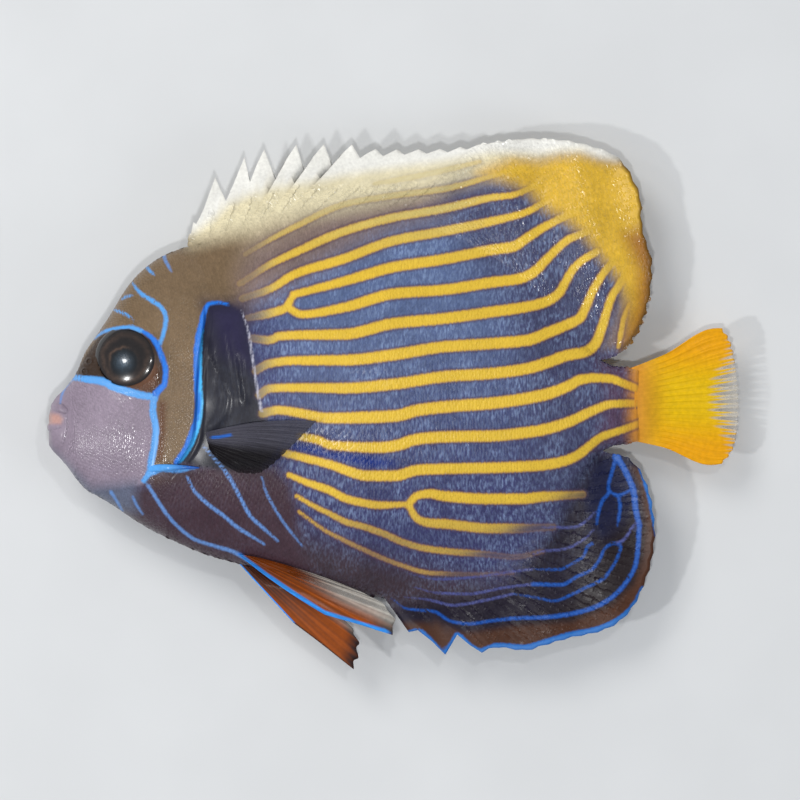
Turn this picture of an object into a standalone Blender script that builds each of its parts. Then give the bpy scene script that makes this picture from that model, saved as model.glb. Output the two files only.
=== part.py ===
"""An emperor angelfish, life size, lying on its right side as a still model.

The fish's plan is the X-Y plane: the snout points to -X, the back to +Y and the left
flank up, to +Z. The floor is Z = 0. Every outline below is in millimetres on a fish of
OUTLINE_LENGTH, read in that plan from the middle of its length and height, and metre()
turns it into metres on a fish of TOTAL_LENGTH.
"""

import math

import bmesh
import bpy
import numpy as np

# Driving dimensions, in metres
TOTAL_LENGTH = 0.140

# Millimetres on the fish that the outlines describe
OUTLINE_LENGTH = 140.0
GAP = 0.3
GILL_GAP = 0.5
MID_LEVEL = 10.9
EDGE_HALF = 0.12

# The body without its fins: back line, belly line and half thickness along the fish
BACK = (
    (-69.8, -2.6), (-69.4, -0.9), (-68.6, 0.9), (-67.0, 2.5), (-65.6, 4.1), (-64.4, 5.8),
    (-62.6, 10.0), (-60.0, 13.9), (-57.3, 18.0), (-54.8, 22.2), (-52.0, 25.8), (-48.0, 29.0),
    (-44.0, 30.9), (-40.0, 32.1), (-34.0, 34.4), (-26.0, 36.8), (-16.0, 38.4), (-6.0, 38.4),
    (4.0, 36.6), (14.0, 32.8), (22.0, 28.2), (29.0, 22.6), (35.0, 16.2), (39.0, 11.4), (42.0, 8.4),
    (45.0, 7.2), (48.5, 6.9),
)
BELLY = (
    (-69.8, -8.5), (-69.0, -9.7), (-67.8, -10.9), (-66.2, -12.7), (-64.2, -15.4), (-62.0, -17.7),
    (-60.0, -18.8), (-57.0, -20.6), (-53.0, -23.3), (-49.0, -25.7), (-44.0, -28.1), (-38.0, -30.6),
    (-32.0, -32.3), (-24.0, -34.2), (-14.0, -36.6), (-6.0, -38.8), (0.0, -39.4), (8.0, -38.4),
    (16.0, -35.2), (24.0, -30.2), (30.0, -25.2), (35.0, -19.8), (39.0, -13.8), (42.0, -9.8),
    (45.0, -8.4), (48.5, -7.9),
)
HALF_WIDTH = (
    (-69.8, 1.5), (-69.3, 2.4), (-68.2, 3.2), (-66.0, 4.2), (-62.0, 5.7), (-58.0, 7.1), (-54.0, 8.2),
    (-48.0, 9.4), (-42.0, 10.2), (-36.0, 10.8), (-29.0, 11.3), (-20.0, 11.5), (-10.0, 11.4),
    (-2.0, 10.8), (6.0, 9.7), (16.0, 8.1), (26.0, 6.3), (34.0, 4.9), (42.0, 3.7), (48.5, 3.0),
)
# How the sections close: 0.5 is a round edge, over 1 runs out flat into a fin's root
CLOSE_AT_BACK = (
    (-69.8, 0.45), (-50.0, 0.52), (-40.0, 0.75), (-28.0, 1.15), (34.0, 1.15), (42.0, 0.7), (46.0, 0.5),
)
CLOSE_AT_BELLY = (
    (-69.8, 0.45), (-50.0, 0.52), (-8.0, 0.6), (4.0, 1.05), (34.0, 1.1), (42.0, 0.7), (46.0, 0.5),
)
# Half thickness left at the outline, where a fin grows from it
ROOT_AT_BACK = ((-44.0, 0.0), (-38.0, 1.0), (-28.0, 1.6), (30.0, 1.4), (40.0, 1.0), (43.5, 0.0))
ROOT_AT_BELLY = ((-5.0, 0.0), (0.0, 1.0), (6.0, 1.5), (30.0, 1.3), (40.0, 1.0), (43.5, 0.0))
WIDEST_SHARE = 0.46

# Lines across the body that its columns follow: X against the share of the height
CHEEK_LINE = (
    (0.0, -53.0), (0.12, -51.4), (0.22, -49.3), (0.33, -48.2), (0.47, -47.9), (0.60, -46.7),
    (0.76, -46.2), (1.0, -48.4),
)
GILL_LINE = (
    (0.0, -47.5), (0.16, -46.3), (0.26, -43.8), (0.38, -40.4), (0.60, -39.5), (0.78, -38.2),
    (0.88, -39.4), (1.0, -42.6),
)
FACE_X = -56.5
FLANK_X = -18.0
TAIL_BASE_X = 42.0
TAIL_FIN_X = 48.5

# The gill covers: plates in seats of the head, between the cheek line and the gill line
COVER_SHARES = np.linspace(0.29, 0.82, 12)
COVER_COLUMNS = np.linspace(2, 3, 6)
COVER_LENGTH = 6.0
HEAD_HEIGHT = 57.0
COVER_THICK = 1.1
COVER_PROUD = 0.4
STEP_RUN = 0.15

# Eye, nostrils, lips and the cheek spine
EYE_CENTRE = (-54.0, 9.1)
EYE_RADIUS = 5.6
EYE_HALF_DEPTH = 3.2
EYE_PROUD = 0.7
CORNEA_SHARE = 0.72
CORNEA_RISE = 0.55
LID_RADIUS = 6.5
LID_RISE = 0.5
LID_SPREAD = 1.7
NOSTRILS = ((-61.2, 9.6), (-60.2, 11.4))
NOSTRIL_RADIUS = 0.42
LIP_HALF_SPAN = 3.1
LIP_BACK_X = -65.8
UPPER_LIP = (-68.2, -0.8)
LOWER_LIP = (-68.9, -4.9)
LIP_CORNER_Y = -3.3
LIP_RADIUS = 1.25
LIP_CORNER_SHARE = 0.45
LIP_REACH = 0.12
MOUTH_CENTRE = (-69.0, -2.9)
MOUTH_HALF = (2.6, 0.5, 2.8)
JAW_FOLD = ((-66.6, 1.8), (-65.9, -1.0), (-65.4, -4.5), (-66.3, -8.0), (-67.6, -10.4))
JAW_FOLD_DEPTH = 0.35
JAW_FOLD_SPREAD = 0.6
SPINE_ROOT = (-49.8, -13.3)
SPINE_TIP = (-39.0, -13.0)
SPINE_RADIUS = 0.9
SPINE_TIP_RADIUS = 0.12
SPINE_ROOT_SUNK = 0.9
SPINE_TIP_CLEAR = 0.9

# Hollows of the flank: centre, spread along and up, depth
AXIL_HOLLOW = ((-36.0, -7.5), 5.0, 6.5, 1.1)
GILL_HOLLOW = ((-34.5, 8.0), 4.0, 14.0, 0.5)

# Fins: the spiny edge as points with 1 at a spine's tip and 0 on the membrane between
DORSAL_SPINY_EDGE = (
    (-40.6, 36.6, 1), (-40.0, 36.2, 0), (-38.6, 39.0, 0), (-36.2, 45.7, 1), (-34.0, 40.9, 0),
    (-32.4, 44.6, 0), (-30.3, 49.8, 1), (-29.1, 44.9, 0), (-27.9, 48.0, 0), (-26.3, 51.4, 1),
    (-23.8, 45.1, 0), (-22.3, 48.6, 0), (-19.8, 52.4, 1), (-18.0, 46.8, 0), (-16.6, 49.6, 0),
    (-14.2, 52.5, 1), (-12.3, 47.9, 0), (-10.8, 50.2, 0), (-8.5, 52.4, 1), (-6.9, 49.6, 0),
    (-5.4, 50.6, 0), (-3.7, 51.5, 1), (-2.2, 50.0, 0), (-0.9, 50.7, 0), (0.6, 51.4, 1),
    (2.1, 50.3, 0), (5.0, 51.4, 1), (6.6, 50.5, 0), (9.3, 51.5, 1), (10.9, 50.8, 0), (13.4, 51.9, 1),
    (14.8, 51.4, 0), (17.2, 52.4, 1),
)
DORSAL_EDGE = (
    (17.2, 52.4), (22.0, 53.1), (28.0, 53.7), (34.0, 53.4), (40.0, 52.2), (44.4, 50.6),
    (46.9, 48.4), (48.7, 45.2), (50.1, 41.4), (50.3, 37.0), (51.2, 32.6), (52.4, 28.4),
    (52.2, 24.0), (51.2, 19.0), (49.4, 14.8), (47.0, 11.6), (44.4, 10.0),
)
DORSAL_SOFT_RAYS = 20
DORSAL_ROOT_HALF = 1.3
DORSAL_ROOT = (-41.6, 41.0)
DORSAL_SPINE_SHARE = 0.5
ANAL_SPINY_EDGE = (
    (3.0, -46.4, 1), (4.8, -46.0, 0), (7.6, -48.2, 0), (10.4, -51.0, 1), (12.8, -46.9, 0),
    (15.2, -48.9, 0), (17.8, -50.6, 1),
)
ANAL_EDGE = (
    (17.8, -50.6), (21.0, -49.6), (26.5, -50.2), (31.0, -49.0), (36.0, -47.6), (41.0, -46.6),
    (45.0, -44.9), (48.4, -41.6), (50.8, -36.8), (52.4, -31.6), (53.0, -26.4), (52.5, -21.0),
    (51.2, -16.2), (49.0, -12.4), (46.4, -10.8), (44.0, -10.6),
)
ANAL_SOFT_RAYS = 20
ANAL_ROOT_HALF = 1.2
SOFT_NOTCH = 0.35
ANAL_ROOT = (-2.0, 41.0)
ANAL_SPINE_SHARE = 0.22
TAIL_EDGE = (
    (66.6, 15.2), (68.3, 12.6), (69.3, 8.2), (69.9, 3.0), (70.0, -1.5), (69.7, -6.0), (68.8, -9.6),
    (66.6, -12.3),
)
TAIL_RAYS = 17
TAIL_ROOT_Y = (-7.2, 6.3)
TAIL_BOW = 1.5
TAIL_NOTCH = 0.7
TAIL_ROOT_HALF = 2.2
TAIL_ROOT_POWER = 5.0
PECTORAL_ROOT = ((-37.8, -5.9), (-37.0, -9.4))
PECTORAL_LEFT_EDGE = (
    (-15.4, -3.6), (-18.2, -6.4), (-21.4, -9.6), (-24.4, -12.4), (-27.6, -14.2), (-31.0, -14.0),
)
PECTORAL_RIGHT_EDGE = ((-25.6, -24.6), (-28.4, -26.0), (-31.2, -25.6), (-33.6, -23.2), (-35.2, -19.6))
PECTORAL_RAYS = 14
PECTORAL_BOW = 1.0
PECTORAL_NOTCH = 0.4
PECTORAL_LIFT = (0.1, 1.8)
PECTORAL_ROOT_HALF = 0.4
PECTORAL_THIN = 0.75
PELVIC_LEFT_ROOT = ((-31.6, -30.4), (-27.0, -31.2))
PELVIC_LEFT_TIPS = (
    (-14.0, -42.8), (-0.3, -46.9), (0.3, -43.7), (-2.2, -40.4), (-6.4, -38.2), (-10.8, -36.4),
)
PELVIC_RIGHT_ROOT = ((-32.8, -31.0), (-28.8, -31.6))
PELVIC_RIGHT_TIPS = (
    (-20.4, -44.5), (-8.2, -54.0), (-7.2, -51.6), (-7.0, -48.6), (-8.2, -45.8), (-11.0, -42.6),
)
PELVIC_NOTCH = 0.9
PELVIC_LIFT = (0.2, 0.6)
PELVIC_ROOT_HALF = 0.7
MEMBRANE_HALF = 0.26
SPINE_HALF = 0.66
RAY_HALF = 0.50
RAY_TIP_HALF = 0.28
BRANCH_START = 0.35
BRANCH_RIDGE = 0.5
STEM_SIDE_RIDGE = 0.35
FIN_ROWS = 7
TAIL_ROWS = 8

# Where the limp edges sag below the fish's middle level: start, reach and drop
TAIL_SAG = (20.0, 50.0, 4.5)
BACK_SAG = (28.0, 26.0, 2.0)
BELLY_SAG = (28.0, 26.0, 2.0)

COLOURS = {
    "head_skin": ((0.22, 0.15, 0.08), 0.35),
    "flank_skin": ((0.10, 0.12, 0.30), 0.35),
    "lip_skin": ((0.45, 0.33, 0.34), 0.4),
    "dorsal_skin": ((0.62, 0.48, 0.12), 0.4),
    "anal_skin": ((0.05, 0.035, 0.04), 0.35),
    "tail_skin": ((0.85, 0.50, 0.01), 0.35),
    "pelvic_skin": ((0.30, 0.11, 0.02), 0.4),
    "pectoral_skin": ((0.07, 0.06, 0.07), 0.4),
    "eye": ((0.01, 0.01, 0.015), 0.08),
}


def metre(value):
    """Outline millimetres to metres at the model's size."""
    return value * TOTAL_LENGTH / OUTLINE_LENGTH


def line_through(points):
    """A smooth function through points of rising first value, which never overshoots them."""
    px, py = np.array(points, float).T
    step = np.diff(px)
    slope = np.diff(py) / step
    tangent = np.zeros(len(px))
    tangent[0], tangent[-1] = slope[0], slope[-1]
    same = slope[:-1] * slope[1:] > 0
    before, after = 2 * step[1:] + step[:-1], step[1:] + 2 * step[:-1]
    ratio = np.where(same, before / np.where(same, slope[:-1], 1) + after / np.where(same, slope[1:], 1), 1)
    tangent[1:-1] = np.where(same, (before + after) / ratio, 0)

    def read(x):
        x = np.clip(np.asarray(x, float), px[0], px[-1])
        i = np.clip(np.searchsorted(px, x) - 1, 0, len(step) - 1)
        s = (x - px[i]) / step[i]
        start = (1 + 2 * s) * (1 - s) ** 2 * py[i] + s * (1 - s) ** 2 * step[i] * tangent[i]
        end = s * s * (3 - 2 * s) * py[i + 1] + s * s * (s - 1) * step[i] * tangent[i + 1]
        return start + end

    return read


def path_through(points):
    """A smooth plan curve through points, as a function of the share of its chord length."""
    points = np.array(points, float)
    run = np.concatenate([[0], np.cumsum(np.hypot(*np.diff(points, axis=0).T))])
    across, up = (line_through(list(zip(run / run[-1], column))) for column in points.T)
    return lambda share: np.stack([across(share), up(share)], axis=-1)


def spread(low, high, count):
    """Values from low to high, closer together at both ends."""
    return low + (high - low) * (0.5 - 0.5 * np.cos(np.linspace(0, math.pi, count)))


def ease(value, low, high):
    """0 below low, 1 above high, and a smooth rise between."""
    s = np.clip((np.asarray(value, float) - low) / (high - low), 0, 1)
    return s * s * (3 - 2 * s)


back_line = line_through(BACK)
belly_line = line_through(BELLY)
half_width = line_through(HALF_WIDTH)
close_at_back = line_through(CLOSE_AT_BACK)
close_at_belly = line_through(CLOSE_AT_BELLY)
root_at_back = line_through(ROOT_AT_BACK)
root_at_belly = line_through(ROOT_AT_BELLY)
cheek_line = line_through(CHEEK_LINE)
gill_line = line_through(GILL_LINE)


def mound(x, y, centre, spread_x, spread_y, height):
    """A smooth hill on centre."""
    return height * np.exp(-(((x - centre[0]) / spread_x) ** 2) - ((y - centre[1]) / spread_y) ** 2)


def from_path(x, y, points):
    """Distance in the plan from a line of straight steps through points."""
    nearest = np.full(np.shape(x), 1e9)
    for (ax, ay), (bx, by) in zip(points[:-1], points[1:]):
        run = (bx - ax) ** 2 + (by - ay) ** 2
        along = np.clip(((x - ax) * (bx - ax) + (y - ay) * (by - ay)) / run, 0, 1)
        nearest = np.minimum(nearest, np.hypot(x - ax - along * (bx - ax), y - ay - along * (by - ay)))
    return nearest


def body_half(x, y):
    """Half the body's thickness at a point of the plan, 0 outside its outline.

    The section closes as (1 - s^2)^k, with s running from the widest level to the outline.
    """
    top, bottom = back_line(x), belly_line(x)
    share = (y - bottom) / (top - bottom)
    above = share > WIDEST_SHARE
    s = np.where(above, (share - WIDEST_SHARE) / (1 - WIDEST_SHARE), (WIDEST_SHARE - share) / WIDEST_SHARE)
    power = np.where(above, close_at_back(x), close_at_belly(x))
    root = np.where(above, root_at_back(x), root_at_belly(x))
    width = half_width(x)
    half = root + (width - root) * np.clip(1 - s * s, 0, 1) ** power
    from_eye = np.hypot(x - EYE_CENTRE[0], y - EYE_CENTRE[1])
    half = half + LID_RISE * np.exp(-(((from_eye - LID_RADIUS) / LID_SPREAD) ** 2))
    half = half - JAW_FOLD_DEPTH * np.exp(-((from_path(x, y, JAW_FOLD) / JAW_FOLD_SPREAD) ** 2))
    half = half - mound(x, y, *AXIL_HOLLOW) - mound(x, y, *GILL_HOLLOW)
    inside = (share >= 0) & (share <= 1) & (x <= TAIL_FIN_X) & (x >= BACK[0][0])
    return np.where(inside, np.maximum(half, EDGE_HALF), 0.0)


def middle(x, y):
    """Height of the fish's middle sheet over the floor: level, but sagging to the limp edges."""
    drop = TAIL_SAG[2] * (np.clip(x - TAIL_SAG[0], 0, None) / TAIL_SAG[1]) ** 2
    drop = drop + BACK_SAG[2] * (np.clip(y - BACK_SAG[0], 0, None) / BACK_SAG[1]) ** 2
    return MID_LEVEL - drop - BELLY_SAG[2] * (np.clip(-y - BELLY_SAG[0], 0, None) / BELLY_SAG[1]) ** 2


def mesh_object(name, points, faces, collection):
    """A closed mesh from outline millimetres, with its origin at the middle of its box."""
    points = metre(np.asarray(points, float))
    origin = (points.min(axis=0) + points.max(axis=0)) / 2
    mesh = bpy.data.meshes.new(name)
    mesh.from_pydata((points - origin).tolist(), [], faces)
    shell = bmesh.new()
    shell.from_mesh(mesh)
    bmesh.ops.recalc_face_normals(shell, faces=shell.faces)
    shell.to_mesh(mesh)
    shell.free()
    obj = bpy.data.objects.new(name, mesh)
    obj.location = origin
    collection.objects.link(obj)
    return obj


def pillow(name, x, y, upper, lower, collection):
    """A solid between two sheets over one plan grid, split into triangles alike on both."""
    rows, columns = x.shape
    index = np.arange(rows * columns).reshape(rows, columns)
    a, b, c, d = (index[:-1, :-1], index[1:, :-1], index[1:, 1:], index[:-1, 1:])
    sheet = np.concatenate([np.stack([a, b, c], -1).reshape(-1, 3), np.stack([a, c, d], -1).reshape(-1, 3)])
    rim = np.concatenate([index[:, 0], index[-1, 1:], index[-2::-1, -1], index[0, -2:0:-1]])
    ahead = np.roll(rim, -1)
    under = rows * columns
    walls = np.concatenate(
        [np.stack([rim, ahead, ahead + under], -1), np.stack([rim, ahead + under, rim + under], -1)]
    )
    faces = np.concatenate([sheet, sheet[:, ::-1] + under, walls])
    points = np.concatenate([np.stack([x, y, z], -1).reshape(-1, 3) for z in (upper, lower)])
    return mesh_object(name, points, faces.tolist(), collection)


def stations(shares):
    """X of the lines that the body's columns run between, from snout to tail, over the shares."""
    flat = np.ones_like(shares)
    gill = gill_line(shares)
    return np.stack(
        [BACK[0][0] * flat, FACE_X * flat, cheek_line(shares), gill, gill + GILL_GAP, FLANK_X * flat,
         (TAIL_BASE_X - GAP / 2) * flat]
    )


def body_grid(columns, shares):
    """Plan points of body columns, each numbered by the stations that it lies between."""
    lines = stations(shares)
    before = np.clip(columns.astype(int), 0, len(lines) - 2)
    part = (columns - before)[:, None]
    x = lines[before] * (1 - part) + lines[before + 1] * part
    bottom, top = belly_line(x), back_line(x)
    return x, bottom + (top - bottom) * shares[None, :]


def body_solid(name, x, y, collection, lowered=0.0):
    """A length of the body over a plan grid."""
    half = np.maximum(body_half(x, y) - lowered, EDGE_HALF)
    level = middle(x, y)
    return pillow(name, x, y, level + half, np.maximum(level - half, 0.0), collection)


def make_head(collection):
    """The head, with a step down all over the seats of the gill covers."""
    step = STEP_RUN / (cheek_line(0.5) - FACE_X)
    columns = np.concatenate([spread(0, 1, 12)[:-1], np.linspace(1, 2 - step, 8), COVER_COLUMNS])
    low, high = COVER_SHARES[[0, -1]]
    rise = STEP_RUN / HEAD_HEIGHT
    ends = spread(0, 1, 22)
    below, above = ends[ends < low - 0.02], ends[ends > high + 0.02]
    shares = np.concatenate([below, [low - rise], COVER_SHARES, [high + rise], above])
    seat = (columns >= 2)[:, None] & ((shares >= low) & (shares <= high))[None, :]
    x, y = body_grid(columns, shares)
    return body_solid("head", x, y, collection, np.where(seat, COVER_THICK - COVER_PROUD + GAP, 0.0))


def make_gill_cover(side, collection):
    """A gill cover: a plate over its seat in the head, proud of the cheek at its free edge."""
    shares, columns = COVER_SHARES.copy(), COVER_COLUMNS.copy()
    shares[0] += GAP / HEAD_HEIGHT
    shares[-1] -= GAP / HEAD_HEIGHT
    columns[0] += GAP / COVER_LENGTH
    x, y = body_grid(columns, shares)
    lift = COVER_PROUD * ease(columns, 2, 3)[:, None]
    outer, inner = body_half(x, y) + lift, body_half(x, y) - COVER_THICK + COVER_PROUD
    level = middle(x, y)
    if side > 0:
        return pillow("gill_cover_left", x, y, level + outer, level + inner, collection)
    return pillow("gill_cover_right", x, y, level - inner, np.maximum(level - outer, 0.0), collection)


def make_trunk(collection):
    columns = np.concatenate([np.linspace(4, 5, 11)[:-1], np.linspace(5, 6, 21)])
    x, y = body_grid(columns, spread(0, 1, 21))
    return body_solid("trunk", x, y, collection)


def make_tail_base(collection):
    shares = spread(0, 1, 15)
    x = np.linspace(TAIL_BASE_X + GAP / 2, TAIL_FIN_X, 5)[:, None] + 0 * shares[None, :]
    return body_solid("tail_base", x, belly_line(x) + (back_line(x) - belly_line(x)) * shares[None, :], collection)


def between(points):
    """Each point followed by the middle of the step to the next one."""
    points = np.asarray(points, float)
    doubled = np.repeat(points, 2, axis=0)[:-1]
    doubled[1::2] = (points[:-1] + points[1:]) / 2
    return doubled


def notched(tips, roots, depth):
    """Edge points of a rayed fin: the rays' tips, and membrane between them cut back by depth."""
    edge, foot = between(tips), between(roots)
    inward = (foot - edge) / np.linalg.norm(foot - edge, axis=1, keepdims=True)
    edge[1::2] += inward[1::2] * depth
    return edge


def fin_plan(roots, edge, rows, bow=0.0):
    """Plan points of a fin whose columns run from roots to edge.

    bow bends each column sideways by that much half way up.
    """
    along = edge - roots
    aside = np.stack([-along[:, 1], along[:, 0]], -1) / np.linalg.norm(along, axis=1, keepdims=True)
    share = np.linspace(0, 1, rows)
    bend = (aside * np.reshape(bow, (-1, 1)))[:, None] * (4 * share * (1 - share))[:, None]
    plan = roots[:, None] + along[:, None] * share[:, None] + bend
    return plan[..., 0], plan[..., 1], share[None, :]


def fin_half(crest, ridge, share, root_half, power=3.0):
    """Half thickness of a fin: a thick root running out into membrane and raised rays."""
    ray = crest + (RAY_TIP_HALF - crest) * share
    blade = MEMBRANE_HALF + (ray - MEMBRANE_HALF) * ridge
    return blade + (root_half - blade) * np.clip(1 - share, 0, 1) ** power


def median_fin(name, plan, half, collection):
    """A fin in the fish's middle sheet."""
    x, y = plan[0], plan[1]
    level = middle(x, y)
    return pillow(name, x, y, level + half, level - half, collection)


def fin_roots(line, ends, shares, sign):
    """Root points along the body's edge, a gap outside it."""
    x = ends[0] + (ends[1] - ends[0]) * shares
    slope = (line(x + 0.05) - line(x - 0.05)) / 0.1
    length = np.hypot(1, slope)
    return np.stack([x - sign * GAP * slope / length, line(x) + sign * GAP / length], -1)


def spiny_fin(name, line, ends, spine_share, spiny_edge, edge, soft_rays, sign, root_half, collection):
    """The dorsal or anal fin: spines with notched membranes, then soft rays round its edge."""
    spiny = np.array(spiny_edge, float)
    at_spine = np.flatnonzero(spiny[:, 2])
    places = np.interp(np.arange(len(spiny)), at_spine, np.linspace(0, spine_share, len(at_spine)))
    soft_places = np.linspace(spine_share, 1, soft_rays + 1)
    soft_tips = path_through(edge)(np.linspace(0, 1, soft_rays + 1))
    soft = notched(soft_tips, fin_roots(line, ends, soft_places, sign), SOFT_NOTCH)[1:]
    roots = fin_roots(line, ends, np.concatenate([places, between(soft_places)[1:]]), sign)
    ridge = np.concatenate([spiny[:, 2], np.arange(len(soft)) % 2])[:, None]
    crest = np.concatenate([np.full(len(spiny), SPINE_HALF), np.full(len(soft), RAY_HALF)])[:, None]
    x, y, share = fin_plan(roots, np.concatenate([spiny[:, :2], soft]), FIN_ROWS)
    return median_fin(name, (x, y), fin_half(crest, ridge, share, root_half), collection)


def make_tail_fin(collection):
    """The tail fin. Each ray is three columns, whose middle one sinks where the ray branches."""
    place = np.linspace(0, 1, TAIL_RAYS)
    x_root = np.full(TAIL_RAYS, TAIL_FIN_X + GAP)
    roots = np.stack([x_root, TAIL_ROOT_Y[1] + (TAIL_ROOT_Y[0] - TAIL_ROOT_Y[1]) * place], -1)
    tips = path_through(TAIL_EDGE)(place)
    quarters = between(between(place))
    columns = len(quarters)
    fine_roots, fine_edge = between(between(roots)), between(notched(tips, roots, TAIL_NOTCH))
    kind = np.arange(columns) % 4
    x, y, share = fin_plan(fine_roots, fine_edge, TAIL_ROWS, TAIL_BOW * (1 - 2 * quarters))
    split = ease(share, BRANCH_START, BRANCH_START + 0.3)
    middle_column = (kind == 0)[:, None] * (1 - split)
    branch = (kind % 2)[:, None] * (BRANCH_RIDGE * split + STEM_SIDE_RIDGE * (1 - split))
    half = fin_half(RAY_HALF, middle_column + branch, share, TAIL_ROOT_HALF, TAIL_ROOT_POWER)
    return median_fin("tail_fin", (x, y), half, collection)


def paired_fin(name, roots, tips, notch, side, bow, lifts, root_half, thin, collection):
    """A fin that lies along the outside of the body, lifting clear of it to its tip."""
    x, y, share = fin_plan(between(roots), notched(tips, roots, notch), FIN_ROWS, between(bow))
    ridge = (1.0 - np.arange(len(x)) % 2)[:, None]
    half = fin_half(RAY_HALF, ridge, share, root_half) * thin
    beside = ease(y, belly_line(x) - 3.0, belly_line(x) + 1.0)
    cover = np.maximum(body_half(x, y), beside * 1.5)
    level = middle(x, y) + side * (cover + GAP + half + lifts[0] + (lifts[1] - lifts[0]) * share)
    level = np.maximum(level, half + GAP)
    return pillow(name, x, y, level + half, level - half, collection)


def make_pectoral(side, collection):
    """A pectoral fin. The one under the fish is folded down, clear of the flank's flat."""
    share = np.linspace(0, 1, PECTORAL_RAYS)
    first, last = np.array(PECTORAL_ROOT)
    roots = first + (last - first) * share[:, None]
    tips = path_through(PECTORAL_LEFT_EDGE if side > 0 else PECTORAL_RIGHT_EDGE)(share)
    name = "pectoral_fin_left" if side > 0 else "pectoral_fin_right"
    lifts = PECTORAL_LIFT if side > 0 else (0.0, 0.0)
    bow = PECTORAL_BOW * (1 - 1.5 * share) if side > 0 else 0 * share
    return paired_fin(
        name, roots, tips, PECTORAL_NOTCH, side, bow, lifts, PECTORAL_ROOT_HALF, PECTORAL_THIN, collection
    )


def make_pelvic(side, collection):
    left = side > 0
    first, last = np.array(PELVIC_LEFT_ROOT if left else PELVIC_RIGHT_ROOT)
    tips = np.array(PELVIC_LEFT_TIPS if left else PELVIC_RIGHT_TIPS)
    share = np.linspace(0, 1, len(tips))
    roots = first + (last - first) * share[:, None]
    name = "pelvic_fin_left" if left else "pelvic_fin_right"
    return paired_fin(
        name, roots, tips, PELVIC_NOTCH, side, 0 * share, PELVIC_LIFT, PELVIC_ROOT_HALF, 1.0, collection
    )


def eye_level(side):
    """Height of an eye's centre over the floor."""
    half = float(body_half(*EYE_CENTRE))
    return float(middle(*EYE_CENTRE)) + side * (half + EYE_PROUD - EYE_HALF_DEPTH)


def ellipsoid(name, centre, radii, collection, segments=20, rings=12):
    """A ball scaled to radii, with its poles in and out of the flank."""
    ball = bmesh.new()
    bmesh.ops.create_uvsphere(ball, u_segments=segments, v_segments=rings, radius=1.0)
    bmesh.ops.scale(ball, vec=[metre(r) for r in radii], verts=ball.verts)
    mesh = bpy.data.meshes.new(name)
    ball.to_mesh(mesh)
    ball.free()
    obj = bpy.data.objects.new(name, mesh)
    obj.location = [metre(c) for c in centre]
    collection.objects.link(obj)
    return obj


def face_slope():
    """How steeply the face falls away at the eye, towards the snout and towards the back."""
    x, y = EYE_CENTRE
    reach = EYE_RADIUS
    return [
        float(body_half(x + reach, y) - body_half(x - reach, y)) / (2 * reach),
        float(body_half(x, y + reach) - body_half(x, y - reach)) / (2 * reach),
    ]


def make_eye(side, collection, extra=0.0, name=None):
    """An eyeball, flattened as a fish's is and leaning with the face; extra makes its socket's cutter."""
    name = name or ("eye_left" if side > 0 else "eye_right")
    radius = EYE_RADIUS + extra
    ball = ellipsoid(name, (*EYE_CENTRE, eye_level(side)), (radius, radius, EYE_HALF_DEPTH + extra), collection)
    slope = face_slope()
    for vertex in ball.data.vertices:
        out = math.hypot(vertex.co.x, vertex.co.y) / metre(radius * CORNEA_SHARE)
        if extra == 0 and out < 1 and vertex.co.z * side > 0:
            vertex.co.z += side * metre(CORNEA_RISE) * (1 - out * out) ** 2
        vertex.co.z += side * (slope[0] * vertex.co.x + slope[1] * vertex.co.y)
    return ball


def tube(name, points, radii, collection, sides=3):
    """A closed tube through 3D points with its own radius at each, made from a curve."""
    data = bpy.data.curves.new(name, "CURVE")
    data.dimensions = "3D"
    data.bevel_depth = 1.0
    data.bevel_resolution = sides
    data.use_fill_caps = True
    spline = data.splines.new("POLY")
    spline.points.add(len(points) - 1)
    for place, (point, radius) in enumerate(zip(points, radii)):
        spline.points[place].co = (*[metre(c) for c in point], 1.0)
        spline.points[place].radius = metre(radius)
    curve = bpy.data.objects.new(name + "_curve", data)
    collection.objects.link(curve)
    bpy.context.view_layer.update()
    mesh = bpy.data.meshes.new_from_object(curve.evaluated_get(bpy.context.evaluated_depsgraph_get()))
    bpy.data.objects.remove(curve)
    shell = bmesh.new()
    shell.from_mesh(mesh)
    bmesh.ops.remove_doubles(shell, verts=shell.verts, dist=metre(0.01))
    bmesh.ops.recalc_face_normals(shell, faces=shell.faces)
    shell.to_mesh(mesh)
    shell.free()
    obj = bpy.data.objects.new(name, mesh)
    collection.objects.link(obj)
    return obj


def make_lip(name, front, collection, extra=0.0, reach=0.0):
    """A lip: a bow round the front of the snout, thinning to the corners of the mouth."""
    turn = np.linspace(-math.pi / 2 - reach, math.pi / 2 + reach, 15)
    meet = np.abs(turn / (math.pi / 2)) ** 2.5
    x = LIP_BACK_X - (LIP_BACK_X - front[0]) * np.cos(turn)
    y = front[1] + (LIP_CORNER_Y - front[1]) * 0.55 * meet
    points = np.stack([x, y, middle(LIP_BACK_X, y) + LIP_HALF_SPAN * np.sin(turn)], -1)
    return tube(name, points, LIP_RADIUS * (1 - (1 - LIP_CORNER_SHARE) * meet) + extra, collection)


def make_cheek_spine(side, collection):
    """The spine at the cheek's lower corner, which points back over the gill cover's edge."""
    share = np.linspace(0, 1, 6)
    x = SPINE_ROOT[0] + (SPINE_TIP[0] - SPINE_ROOT[0]) * share
    y = SPINE_ROOT[1] + (SPINE_TIP[1] - SPINE_ROOT[1]) * share
    radius = SPINE_RADIUS * (1 - share) ** 0.8 + SPINE_TIP_RADIUS
    rise = (SPINE_ROOT_SUNK + SPINE_TIP_CLEAR) * ease(share, 0.0, 0.45)
    clear = rise - SPINE_ROOT_SUNK + radius * ease(share, 0.3, 0.7)
    z = middle(x, y) + side * (body_half(x, y) + clear)
    name = "cheek_spine_left" if side > 0 else "cheek_spine_right"
    return tube(name, np.stack([x, y, z], -1), radius, collection, 1)


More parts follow.
